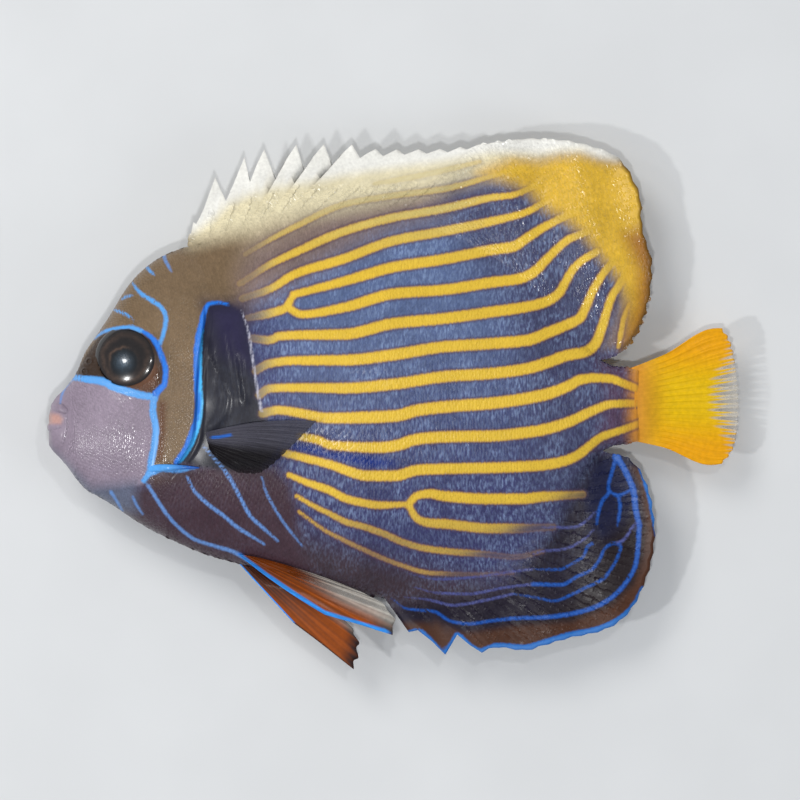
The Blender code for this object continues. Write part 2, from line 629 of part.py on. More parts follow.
def hide(collection):
    """Marks a collection's objects as helpers."""
    for obj in collection.objects:
        obj.hide_render = True
        obj.display_type = "WIRE"


def join_and_cut(head, pieces, cutters):
    """Joins the cheek spines to the head, then cuts the sockets, nostrils and lips' seats."""
    for name, operation, collection in (("spines", "UNION", pieces), ("seats", "DIFFERENCE", cutters)):
        modifier = head.modifiers.new(name, "BOOLEAN")
        modifier.operation = operation
        modifier.operand_type = "COLLECTION"
        modifier.collection = collection
        modifier.solver = "EXACT"


def make_nostril_cutter(side, centre, name, collection):
    level = float(middle(*centre)) + side * float(body_half(*centre))
    return ellipsoid(name, (*centre, level), (NOSTRIL_RADIUS, NOSTRIL_RADIUS, 0.9), collection, 8, 6)


def finish(name):
    """The material of that name."""
    material = bpy.data.materials.new(name)
    material.use_nodes = True
    colour, roughness = COLOURS[name]
    shader = material.node_tree.nodes["Principled BSDF"]
    shader.inputs["Base Color"].default_value = (*colour, 1.0)
    shader.inputs["Roughness"].default_value = roughness
    shader.inputs["Metallic"].default_value = 0.0
    return material


def new_collection(name):
    collection = bpy.data.collections.new(name)
    bpy.context.scene.collection.children.link(collection)
    return collection


def main():
    for obj in list(bpy.data.objects):
        bpy.data.objects.remove(obj)
    fish = new_collection("emperor_angelfish")
    cutters = new_collection("cutters")
    joined = new_collection("joined_to_head")

    head = make_head(fish)
    made = {"head_skin": [head], "eye": [], "pectoral_skin": [], "pelvic_skin": []}
    for side, word in ((1, "left"), (-1, "right")):
        made["head_skin"].append(make_gill_cover(side, fish))
        made["eye"].append(make_eye(side, fish))
        made["pectoral_skin"].append(make_pectoral(side, fish))
        made["pelvic_skin"].append(make_pelvic(side, fish))
        make_cheek_spine(side, joined)
        make_eye(side, cutters, GAP, "eye_socket_" + word)
        for place, centre in enumerate(NOSTRILS):
            make_nostril_cutter(side, centre, f"nostril_{word}_{place + 1}", cutters)
    made["lip_skin"] = [make_lip("upper_lip", UPPER_LIP, fish), make_lip("lower_lip", LOWER_LIP, fish)]
    make_lip("upper_lip_seat", UPPER_LIP, cutters, GAP, LIP_REACH)
    make_lip("lower_lip_seat", LOWER_LIP, cutters, GAP, LIP_REACH)
    ellipsoid("mouth_slit", (*MOUTH_CENTRE, float(middle(*MOUTH_CENTRE))), MOUTH_HALF, cutters, 16, 8)
    join_and_cut(head, joined, cutters)
    made["flank_skin"] = [make_trunk(fish), make_tail_base(fish)]
    made["dorsal_skin"] = [
        spiny_fin(
            "dorsal_fin", back_line, DORSAL_ROOT, DORSAL_SPINE_SHARE, DORSAL_SPINY_EDGE, DORSAL_EDGE,
            DORSAL_SOFT_RAYS, 1, DORSAL_ROOT_HALF, fish,
        )
    ]
    made["anal_skin"] = [
        spiny_fin(
            "anal_fin", belly_line, ANAL_ROOT, ANAL_SPINE_SHARE, ANAL_SPINY_EDGE, ANAL_EDGE,
            ANAL_SOFT_RAYS, -1, ANAL_ROOT_HALF, fish,
        )
    ]
    made["tail_skin"] = [make_tail_fin(fish)]
    for name, objects in made.items():
        material = finish(name)
        for obj in objects:
            obj.data.materials.append(material)
            obj.data.shade_smooth()
            obj.data.set_sharp_from_angle(angle=math.radians(40))
    hide(cutters)
    hide(joined)


main()
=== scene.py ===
"""The looks of the emperor angelfish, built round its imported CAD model.

The fish's plan is the X-Y plane: the snout points to -X, the back to +Y and the left
flank up, to +Z. The floor is Z = 0. Outlines and sizes below are millimetres in that plan,
as in the CAD source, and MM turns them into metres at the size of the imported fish.
"""

import math

import bpy
import numpy as np
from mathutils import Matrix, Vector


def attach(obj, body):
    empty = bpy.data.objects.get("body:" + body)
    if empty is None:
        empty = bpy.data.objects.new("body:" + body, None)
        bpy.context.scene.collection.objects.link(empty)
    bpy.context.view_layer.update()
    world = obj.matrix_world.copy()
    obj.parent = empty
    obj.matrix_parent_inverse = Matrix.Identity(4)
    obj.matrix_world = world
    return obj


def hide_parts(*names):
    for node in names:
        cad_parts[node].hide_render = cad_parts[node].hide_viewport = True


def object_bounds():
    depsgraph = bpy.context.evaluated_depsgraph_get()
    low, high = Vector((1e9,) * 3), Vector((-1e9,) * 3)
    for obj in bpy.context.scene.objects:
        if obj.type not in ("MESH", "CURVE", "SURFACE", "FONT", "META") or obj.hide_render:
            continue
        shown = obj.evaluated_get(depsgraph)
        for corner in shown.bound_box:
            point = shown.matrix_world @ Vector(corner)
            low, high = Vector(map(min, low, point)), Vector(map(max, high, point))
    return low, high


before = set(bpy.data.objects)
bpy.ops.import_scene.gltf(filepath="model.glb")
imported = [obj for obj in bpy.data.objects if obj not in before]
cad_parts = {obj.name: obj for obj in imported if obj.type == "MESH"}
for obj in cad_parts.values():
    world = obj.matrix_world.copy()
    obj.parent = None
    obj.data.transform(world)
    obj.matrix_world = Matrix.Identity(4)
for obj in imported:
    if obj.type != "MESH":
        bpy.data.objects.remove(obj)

bl_info = {
    "name": "Emperor Angelfish",
    "version": (1, 0, 0),
    "blender": (4, 5, 0),
    "location": "View3D > Sidebar > Angelfish",
    "description": "Builds the skin, scales, fins and eyes of an emperor angelfish",
    "category": "Object",
}

BODY = "root"
FRAME_BOX = [list(corner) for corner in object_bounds()]
CAD_LENGTH = 140.14
MM = (FRAME_BOX[1][0] - FRAME_BOX[0][0]) / CAD_LENGTH

# The body without its fins: back line, belly line and half thickness along the fish
BACK = (
    (-69.8, -2.6), (-69.4, -0.9), (-68.6, 0.9), (-67, 2.5), (-65.6, 4.1), (-64.4, 5.8), (-62.6, 10),
    (-60, 13.9), (-57.3, 18), (-54.8, 22.2), (-52, 25.8), (-48, 29), (-44, 30.9), (-40, 32.1),
    (-34, 34.4), (-26, 36.8), (-16, 38.4), (-6, 38.4), (4, 36.6), (14, 32.8), (22, 28.2), (29, 22.6),
    (35, 16.2), (39, 11.4), (42, 8.4), (45, 7.2), (49.5, 6.9),
)
BELLY = (
    (-69.8, -8.5), (-69, -9.7), (-67.8, -10.9), (-66.2, -12.7), (-64.2, -15.4), (-62, -17.7),
    (-60, -18.8), (-57, -20.6), (-53, -23.3), (-49, -25.7), (-44, -28.1), (-38, -30.6), (-32, -32.3),
    (-24, -34.2), (-14, -36.6), (-6, -38.8), (0, -39.4), (8, -38.4), (16, -35.2), (24, -30.2),
    (30, -25.2), (35, -19.8), (39, -13.8), (42, -9.8), (45, -8.4), (49.5, -7.8),
)
HALF_WIDTH = (
    (-69.8, 1.5), (-69.3, 2.4), (-68.2, 3.2), (-66, 4.2), (-62, 5.7), (-58, 7.1), (-54, 8.2), (-48, 9.4),
    (-42, 10.2), (-36, 10.8), (-29, 11.3), (-20, 11.5), (-10, 11.4), (-2, 10.8), (6, 9.7), (16, 8.1),
    (26, 6.3), (34, 4.9), (42, 3.7), (49.5, 2.9),
)
# How the sections close: 0.5 is a round edge, over 1 runs out flat into a fin's root
CLOSE_AT_BACK = ((-69.8, 0.45), (-50, 0.52), (-40, 0.75), (-28, 1.15), (34, 1.15), (42, 0.7), (46, 0.5))
CLOSE_AT_BELLY = ((-69.8, 0.45), (-50, 0.52), (-8, 0.6), (4, 1.05), (34, 1.1), (42, 0.7), (46, 0.5))
# Half thickness left at the outline, where a fin grows from it
ROOT_AT_BACK = ((-44, 0), (-38, 1), (-28, 1.6), (30, 1.4), (40, 1), (43.5, 0))
ROOT_AT_BELLY = ((-5, 0), (0, 1), (6, 1.5), (30, 1.3), (40, 1), (43.5, 0))
WIDEST_SHARE = 0.46
MID_LEVEL = 10.9
REST_LEVEL = 0.04
SNOUT_ROUND = 0.8
TAIL_HEM = (44.0, 49.5, 0.5)

# Lines across the body, as X against the share of its height
CHEEK_LINE = (
    (0, -53), (0.12, -51.4), (0.22, -49.3), (0.33, -48.2), (0.47, -47.9), (0.6, -46.7), (0.76, -46.2),
    (1, -48.4),
)
GILL_LINE = (
    (0, -47.5), (0.16, -46.3), (0.26, -43.8), (0.38, -40.4), (0.6, -39.5), (0.78, -38.2), (0.88, -39.4),
    (1, -42.6),
)
# The gill cover's free edge, as offsets tailward and outward round its rounded lip
GILL_LIP = (
    (-0.7, 0), (-0.25, 0.03), (0, -0.06), (0.12, -0.22), (0.02, -0.42), (-0.35, -0.6), (-0.8, -0.8),
    (-0.3, -1), (0.35, -0.85), (0.9, -0.45), (1.5, -0.12),
)
GILL_OPENING = (0.20, 0.31, 0.74, 0.81)
COVER_PROUD = 0.4
CHEEK_GROOVE = 0.22
CHEEK_GROOVE_SPREAD = 0.7

# Eye, lips, nostrils and cheek spine
EYE_CENTRE = (-54.0, 9.1)
ORBIT_RADIUS = 5.85
EYE_DOME = (-0.95, 1.95, 6.3, 0.6)
PUPIL_RADIUS = 2.9
LID_RADIUS = 6.5
LID_RISE = 0.4
LID_SPREAD = 1.5
LID_FOOT = 0.75
LID_RIM = (
    (0.5, 0), (0.3, 0.06), (0.12, 0.13), (0, 0.14), (-0.1, 0.06), (-0.16, -0.12), (-0.15, -0.45),
    (-0.4, -1), (-1.6, -1.9), (-3.2, -2.1),
)
SOCKET_DEPTH = 2.2
EYE_WALL = 1.1
EYE_DEPTH = 2.4
FACE_WINDOW = (0.36, 0.47, 0.95)
LIP_HALF_SPAN = 3.1
LIP_BACK_X = -65.8
UPPER_LIP = (-68.2, -0.8)
LOWER_LIP = (-68.9, -4.9)
LIP_CORNER_Y = -3.3
LIP_RADIUS = 1.2
LIP_CORNER_SHARE = 0.45
JAW_FOLD = ((-66.6, 1.8), (-65.9, -1), (-65.4, -4.5), (-66.3, -8), (-67.6, -10.4))
JAW_FOLD_DEPTH = 0.35
JAW_FOLD_SPREAD = 0.6
NOSTRILS = ((-62.4, 6.4), (-61.5, 8.4))
NOSTRIL_PROFILE = (
    (0.95, -0.25), (0.8, 0), (0.66, 0.1), (0.52, 0.12), (0.4, 0.03), (0.33, -0.2), (0.26, -0.45),
)
NOSTRIL_DEPTH = 0.5
SPINE_ROOT = (-49.8, -13.3)
SPINE_TIP = (-39.0, -13.0)
SPINE_RADIUS = 0.85
SPINE_SHADE = (-46, -40)

# Hollows of the flank: centre, spread along and up, depth
AXIL_HOLLOW = ((-36.0, -7.5), 5.0, 6.5, 1.1)
GILL_HOLLOW = ((-34.5, 8.0), 4.0, 14.0, 0.5)

# Folds of the bare skin behind the gill cover: height, spread and line
BAND_FOLDS = (
    (0.5, 0.75, ((-37.4, 11.5), (-36.4, 8), (-34.6, 4.2), (-33.4, 1.2), (-34, -2), (-36.4, -4.8))),
    (-0.35, 0.45, ((-36.6, 10), (-35.2, 6.2), (-35.4, 3))),
    (0.35, 0.6, ((-33.4, 14.5), (-32.6, 10), (-31.6, 5), (-31, 0.5))),
    (-0.45, 0.5, ((-30.8, 9), (-30.4, 5.5), (-29.6, 1))),
)

# Fin edges: with 1 at a spine's tip and 0 on the membrane between
DORSAL_SPINY_EDGE = (
    (-40.6, 36.6, 1), (-40, 36.2, 0), (-38.6, 39, 0), (-36.2, 45.7, 1), (-34, 40.9, 0), (-32.4, 44.6, 0),
    (-30.3, 49.8, 1), (-29.1, 44.9, 0), (-27.9, 48, 0), (-26.3, 51.4, 1), (-23.8, 45.1, 0),
    (-22.3, 48.6, 0), (-19.8, 52.4, 1), (-18, 46.8, 0), (-16.6, 49.6, 0), (-14.2, 52.5, 1),
    (-12.3, 47.9, 0), (-10.8, 50.2, 0), (-8.5, 52.4, 1), (-6.9, 49.6, 0), (-5.4, 50.6, 0),
    (-3.7, 51.5, 1), (-2.2, 50, 0), (-0.9, 50.7, 0), (0.6, 51.4, 1), (2.1, 50.3, 0), (5, 51.4, 1),
    (6.6, 50.5, 0), (9.3, 51.5, 1), (10.9, 50.8, 0), (13.4, 51.9, 1), (14.8, 51.4, 0), (17.2, 52.4, 1),
)
DORSAL_EDGE = (
    (17.2, 52.4), (22, 53.1), (28, 53.7), (34, 53.4), (40, 52.2), (44.4, 50.6), (46.9, 48.4),
    (48.7, 45.2), (50.1, 41.4), (50.3, 37), (51.2, 32.6), (52.4, 28.4), (52.2, 24), (51.2, 19),
    (49.4, 14.8), (47, 11.6), (44.4, 10),
)
ANAL_SPINY_EDGE = (
    (3, -46.4, 1), (4.8, -46, 0), (7.6, -48.2, 0), (10.4, -51, 1), (12.8, -46.9, 0), (15.2, -48.9, 0),
    (17.8, -50.6, 1),
)
ANAL_EDGE = (
    (17.8, -50.6), (21, -49.6), (26.5, -50.2), (31, -49), (36, -47.6), (41, -46.6), (45, -44.9),
    (48.4, -41.6), (50.8, -36.8), (52.4, -31.6), (53, -26.4), (52.5, -21), (51.2, -16.2), (49, -12.4),
    (46.4, -10.8), (44, -10.6),
)
TAIL_EDGE = (
    (66.6, 15.2), (68.3, 12.6), (69.3, 8.2), (69.9, 3), (70, -1.5), (69.7, -6), (68.8, -9.6),
    (66.6, -12.3),
)
DORSAL_ROOT = (-41.6, -6.65, -0.3, 41.0)
ANAL_ROOT = (-46.5, -2.0, 7.5, 41.0)
SOFT_RAYS = 20
# Half thickness of the back and belly fins: a spine's and a ray's crest, both at the edge, and the web
SPINE_CREST = 0.52
RAY_CREST = 0.34
EDGE_CREST = 0.16
WEB = (0.2, 0.06)
FIN_FRINGE = 0.35
RAY_SPLIT = (0.45, 0.7)
THINNEST = 0.03
# Share of a fin's height that scales cover, over its spines and over its soft rays
FIN_SCALES_TO = (0.42, 0.94)
TAIL_RAYS = 17
TAIL_ROOT_X = 46.6
TAIL_ROOT_Y = (6.6, -7.3)

# Where the limp edges sag below the fish's middle level: start, reach and drop
TAIL_SAG = (20.0, 50.0, 4.5)
BACK_SAG = (28.0, 26.0, 2.0)
BELLY_SAG = (28.0, 26.0, 2.0)

# How finely the skin is divided: columns from the snout to the tail, and rows round a side
SNOUT_COLUMNS = 44
COVER_COLUMNS = 14
SPINE_COLUMNS = 6
RAY_COLUMNS = 4
TAIL_COLUMNS = 12
BODY_ROWS = 136
FIN_ROWS = 34

# Yellow stripes of the flank as plan points from the head to the tail: half width and shape
STRIPES = (
    (0.5, ((-4, 44.4), (1.4, 45.3), (7, 46.4), (12.5, 47.7), (17.4, 48.9))),
    (0.55, ((-30, 30), (-25, 33), (-20, 35.6), (-10, 40.2), (0, 42), (10, 43.3), (20, 46), (27, 48))),
    (0.75, ((-31, 24), (-25, 27.9), (-20, 30.3), (-10, 34.7), (0, 37.5), (10, 39.3), (20, 41.6),
     (24, 42.1), (29, 44.2))),
    (0.85, ((-30.5, 21), (-25, 22.9), (-20, 25.9), (-10, 29.1), (0, 32.8), (10, 34.7), (20, 36.8),
     (26.7, 38.6), (31, 41))),
    (0.75, ((-29.4, 17.1), (-25, 18), (-21.5, 19.3), (-20.6, 21), (-19.6, 22))),
    (0.95, ((-20.2, 21.8), (-10, 24.5), (0, 27.4), (10, 29), (20, 31), (24, 31.6), (27.1, 33.5),
     (30, 35.4), (33, 37), (37, 38.8))),
    (0.95, ((-21.5, 19.3), (-18.5, 17.8), (-10, 19.2), (0, 22), (10, 22.8), (20, 24.4), (25.2, 25.1),
     (28.3, 26.5), (30.6, 28.8), (33, 31.2), (35.3, 33.1), (39, 34.6))),
    (0.98, ((-28.4, 13), (-25, 12.6), (-23, 13.4), (-20, 13.6), (-10, 13.8), (0, 16), (10, 17),
     (20, 18.4), (27.1, 19.5), (31, 20.6), (33.3, 22.2), (34.7, 24.5), (36.1, 26.9), (38, 28.8),
     (41, 30.6))),
    (1, ((-27.7, 6.5), (-25, 7.9), (-20, 8.5), (-10, 8.6), (0, 9.7), (10, 11.3), (20, 12), (27.1, 12.7),
     (31, 14.2), (34.9, 15.8), (37.6, 17.2), (39, 19.9), (40.4, 23), (42.3, 26.1), (44.4, 28.8))),
    (1, ((-27, 1.6), (-25, 2.9), (-20, 3.1), (-10, 3), (0, 3.8), (10, 5.3), (20, 6), (27.1, 7), (31, 8.2),
     (34.9, 9.6), (38.8, 10.4), (40.7, 11.9), (41.9, 14.8), (42.9, 17.9), (43.9, 21.1), (45.8, 24.2),
     (47.4, 26.8))),
    (0.45, ((45.4, 11.3), (46, 14.4), (46.5, 17), (47.6, 20))),
    (1.05, ((-26.4, -2.1), (-23, -1.4), (-20, -1.8), (-12.9, -3), (0, -2.6), (5, -1.4), (10, -0.8),
     (20, 0), (30, 1.6), (34.9, 3.3), (37.6, 4.7), (40.7, 5.1), (43.9, 4.9), (46.6, 3.9), (49.5, 2.8))),
    (1, ((-18.8, -6.7), (-15.2, -7.4), (-12.9, -8.4), (-2.8, -8.9), (0, -8.6), (5, -7.2), (10, -6.8),
     (20, -6.6), (26, -6), (30, -5.4), (35, -3.9), (40, -1.6), (44, -0.2), (49.5, 0))),
    (0.95, ((-21.9, -10), (-19.1, -10.7), (-12.9, -12.3), (-5, -14.6), (0, -14.6), (5, -13.4),
     (10, -13.2), (20, -13), (30, -12.5), (35, -11.5), (38, -9.9), (40, -8.2), (42, -6.8), (45, -5.8),
     (49.5, -4.2))),
    (0.7, ((-21.1, -14.4), (-17.2, -16), (-12.9, -17.5), (-9.8, -19.1), (-6.7, -19.9), (-2.8, -20.5),
     (3, -20.3))),
    (0.95, ((3.2, -20), (4.6, -18.6), (7.3, -18.2), (10, -18.7), (20, -19.3), (26, -19.3), (30, -18.9),
     (36, -18.6), (38.2, -18.5))),
    (0.85, ((3, -20.6), (4.6, -23.2), (6.9, -24.1), (10, -24.3), (20, -25.3), (26, -25.3),
     (32.2, -25.1))),
    (0.55, ((-19.5, -18.7), (-16, -20.7), (-12.9, -22.2), (-9.8, -23.8), (-5.9, -24.9), (-2, -26.3),
     (1.5, -27.9), (5, -29), (10, -29.8), (18.2, -30.5), (24.4, -31.1), (30, -30))),
    (0.35, ((-19.1, -21.8), (-13.7, -25.7), (-9.8, -27.7), (-6.3, -29.4), (-2.4, -31.2), (1.5, -32.7),
     (7.3, -34.3), (16.7, -34.6), (24, -34.4))),
)
# Blue lines: shade, half width at the start, half way and at the end, and shape
BRIGHT, SKY, PALE, DEEP, RIM, CYAN, HAZE = "bright", "sky", "pale", "deep", "rim", "cyan", "haze"
# The whitish line behind the dark band
CHALK = ((-30.6, 18.6), (-29.3, 14.7), (-28.5, 10.1), (-27.9, 6.2), (-27.3, 2.3), (-26.5, -1.6))
BLUES = (
    (SKY, (0.25, 0.4, 0.5), ((-60.6, 12.9), (-59.6, 13.8), (-56.9, 14.9), (-53.4, 15.3), (-50.7, 14.5))),
    (BRIGHT, (0.4, 0.6, 0.75), ((-51.2, 14.8), (-48.7, 13.2), (-47.5, 11.6), (-46.6, 9.3), (-45.8, 6.6),
     (-46, 3.9), (-47.5, 2.3), (-48.3, 1.1))),
    (SKY, (0.3, 0.5, 0.45), ((-52.8, 24.2), (-51, 22.1), (-48.7, 20.6), (-46.8, 19.2), (-45.8, 17.1),
     (-46.2, 14.4), (-46.9, 12))),
    (SKY, (0.35, 0.35, 0.15), ((-50, 27.6), (-49.2, 26.6), (-48.3, 25.8))),
    (PALE, (0.45, 0.35, 0.2), ((-46.6, 29.8), (-45.9, 28.3), (-44.8, 26.4))),
    (SKY, (0.25, 0.3, 0.1), ((-54.9, 21), (-54, 21.5), (-52.6, 21.7))),
    (SKY, (0.3, 0.35, 0.15), ((-56.6, 19), (-55.9, 18.6), (-54.2, 18), (-52.4, 16.8))),
    (SKY, (0.65, 0.85, 0.75), ((-64.7, 5.2), (-61.9, 4.8), (-58.8, 4.4), (-56.5, 3.3), (-53.4, 2.3),
     (-50.3, 1.5), (-47.9, 1.2))),
    (PALE, (0.35, 0.3, 0.2), ((-64.9, 5), (-66.2, 3.5), (-67, 2), (-67.4, 0))),
    (SKY, (0.7, 0.75, 0.6), ((-48.2, 1.1), (-48.4, -1.6), (-47.8, -5.1), (-48.1, -8.6), (-48.7, -11.3),
     (-49.1, -13.7), (-50.3, -15.6))),
    (SKY, (0.5, 0.45, 0.15), ((-49.4, -14.4), (-48.7, -14.2), (-46.4, -13.4), (-44, -13.6),
     (-39.4, -13))),
    (BRIGHT, (0.35, 0.72, 0.65), ((-33.3, 19.8), (-35.1, 20.2), (-37.1, 20), (-38.1, 18.4), (-38.6, 15.9),
     (-39.2, 13.2), (-39.5, 10.1), (-39.5, 6.6), (-39.4, 3.1), (-39.2, 0), (-39.5, -3.2), (-40.6, -6.3),
     (-41.7, -9), (-43.6, -11.9))),
    (CYAN, (0.2, 0.5, 0.5), ((-38.4, 14.5), (-38.8, 11), (-39, 7), (-38.9, 3.1), (-38.7, 0), (-39, -3.2),
     (-39.9, -6.3), (-41.1, -9), (-43.1, -11.7))),
    (PALE, (0.4, 0.35, 0.3), ((-57.1, -17.9), (-56.1, -19.5), (-54.9, -21.8))),
    (PALE, (0.3, 0.3, 0.25), ((-52.6, -18.9), (-51.8, -20.7), (-50.7, -22.4))),
    (PALE, (0.4, 0.4, 0.5), ((-49.4, -16.6), (-47.5, -19.7), (-45.6, -22.6), (-43.3, -25.1),
     (-40.2, -27.5), (-36.3, -28.8), (-32.4, -30), (-29.7, -31.6))),
    (PALE, (0.3, 0.42, 0.3), ((-41.5, -14.8), (-40.2, -17.5), (-37.4, -20.3), (-34.3, -22.6),
     (-31.6, -24.9), (-28.5, -26.9), (-26.1, -28.4))),
    (PALE, (0.35, 0.42, 0.3), ((-38.2, -8.6), (-36.3, -10.9), (-34.3, -13.1), (-32.4, -16),
     (-30.8, -19.1), (-28.9, -22.6), (-26.1, -25.3), (-23.4, -27.7))),
    (PALE, (0.2, 0.3, 0.2), ((-26.5, -14.8), (-25.8, -17.5), (-24.2, -20.7), (-22.3, -23.8),
     (-20.3, -26.5), (-18.4, -28.8))),
    ("chalk", (0.2, 0.3, 0.34), CHALK),
    (RIM, (0.3, 0.5, 0.45), ((2.6, -46.4), (4.8, -45.9), (7.6, -48.2), (10.4, -50.9), (12.8, -46.8),
     (15.2, -48.9), (17.8, -50.5))),
    (RIM, (0.9, 1.25, 0.5), ((17.8, -50.5), (21, -49.5), (26.5, -50.1), (31, -48.9), (36, -47.5),
     (41, -46.5), (45, -44.8), (48.4, -41.5), (50.4, -37.5))),
    (RIM, (0.25, 0.85, 0.35), ((52.9, -27), (52.9, -24), (52.5, -21), (51.2, -16.2), (49.6, -13))),
    (DEEP, (0.15, 0.35, 0.4), ((-0.5, -39.5), (2.6, -41.6), (8.1, -42.2), (11.6, -44.2), (15.1, -44.7),
     (19, -44.2), (23.7, -43.6))),
    (DEEP, (0.4, 0.5, 0.55), ((23.7, -43.6), (30, -43.4), (35.3, -42.8), (40, -41.6), (43.9, -39.5),
     (47, -36.4), (49, -32.5), (49.5, -28.6), (49.7, -24.7))),
    (DEEP, (0.6, 0.65, 0.5), ((49.7, -24.7), (48.9, -21.2), (48.6, -18.1), (47.4, -15), (45.4, -11.5))),
    (DEEP, (0.2, 0.35, 0.45), ((24, -38.6), (29.5, -39.5), (32.2, -40.1), (36.1, -38.7), (39.2, -37.2),
     (42.3, -35.6), (43.9, -33.7), (45.4, -30.9), (46, -29), (44.5, -28.4), (42.7, -29.4), (41.6, -31.7),
     (40, -33.7), (36.9, -35.2), (33.8, -36.8), (28, -36.6))),
    (DEEP, (0.35, 0.3, 0.15), ((40.2, -28.4), (39.2, -29), (38.4, -30.9), (36.1, -32.5), (33.4, -33.7),
     (28, -33.6))),
    (DEEP, (0.45, 0.4, 0.3), ((44.8, -11.6), (44, -14.4), (43.4, -16.8), (43.5, -17.9), (42.1, -19.9),
     (41.3, -22.6), (41, -24.4))),
    (DEEP, (0.3, 0.4, 0.3), ((43.5, -17.9), (45.4, -18.7), (48, -17.6))),
    (DEEP, (0.35, 0.4, 0.2), ((45.4, -18.7), (45.8, -21), (45.5, -23.4), (45.2, -25))),
    (DEEP, (0.9, 0.6, 0.1), ((45, -10.9), (46, -12.2), (47.2, -14.4), (47.8, -16.6))),
    (HAZE, (0.2, 0.35, 0.2), ((49.4, -23.6), (48, -25.6), (46.4, -27.8), (43.4, -28.8))),
    (HAZE, (0.2, 0.3, 0.2), ((30, -25.1), (36, -25.2), (39.2, -23.6), (40.6, -22))),
    (HAZE, (0.3, 0.25, 0.1), ((28, -33.6), (23, -34.2), (16, -35.2), (9, -35.6), (3, -34.4))),
    (HAZE, (0.3, 0.3, 0.1), ((28, -36.6), (22, -37.4), (15, -38.6), (9, -38.4), (4, -37.2))),
    (HAZE, (0.3, 0.3, 0.1), ((24, -38.6), (18, -40), (12, -40.9), (7, -39.8), (2, -39.2))),
    (HAZE, (0.2, 0.3, 0.2), ((28, -30.6), (30, -30), (34.2, -29.6), (38.4, -27.6), (40.4, -25.6))),
)
# The dark band of bare skin behind the gill cover
BAND = (
    (-33.3, 20.4), (-37.5, 19.8), (-38.6, 14), (-39.5, 8), (-39, 0), (-40.2, -6.4), (-43.2, -11.8),
    (-40, -12.6), (-34, -13.5), (-27, -13), (-22.6, -8.4), (-26.4, -1.6), (-27.9, 6.2), (-29.3, 14.7),
    (-30.4, 18.4),
)
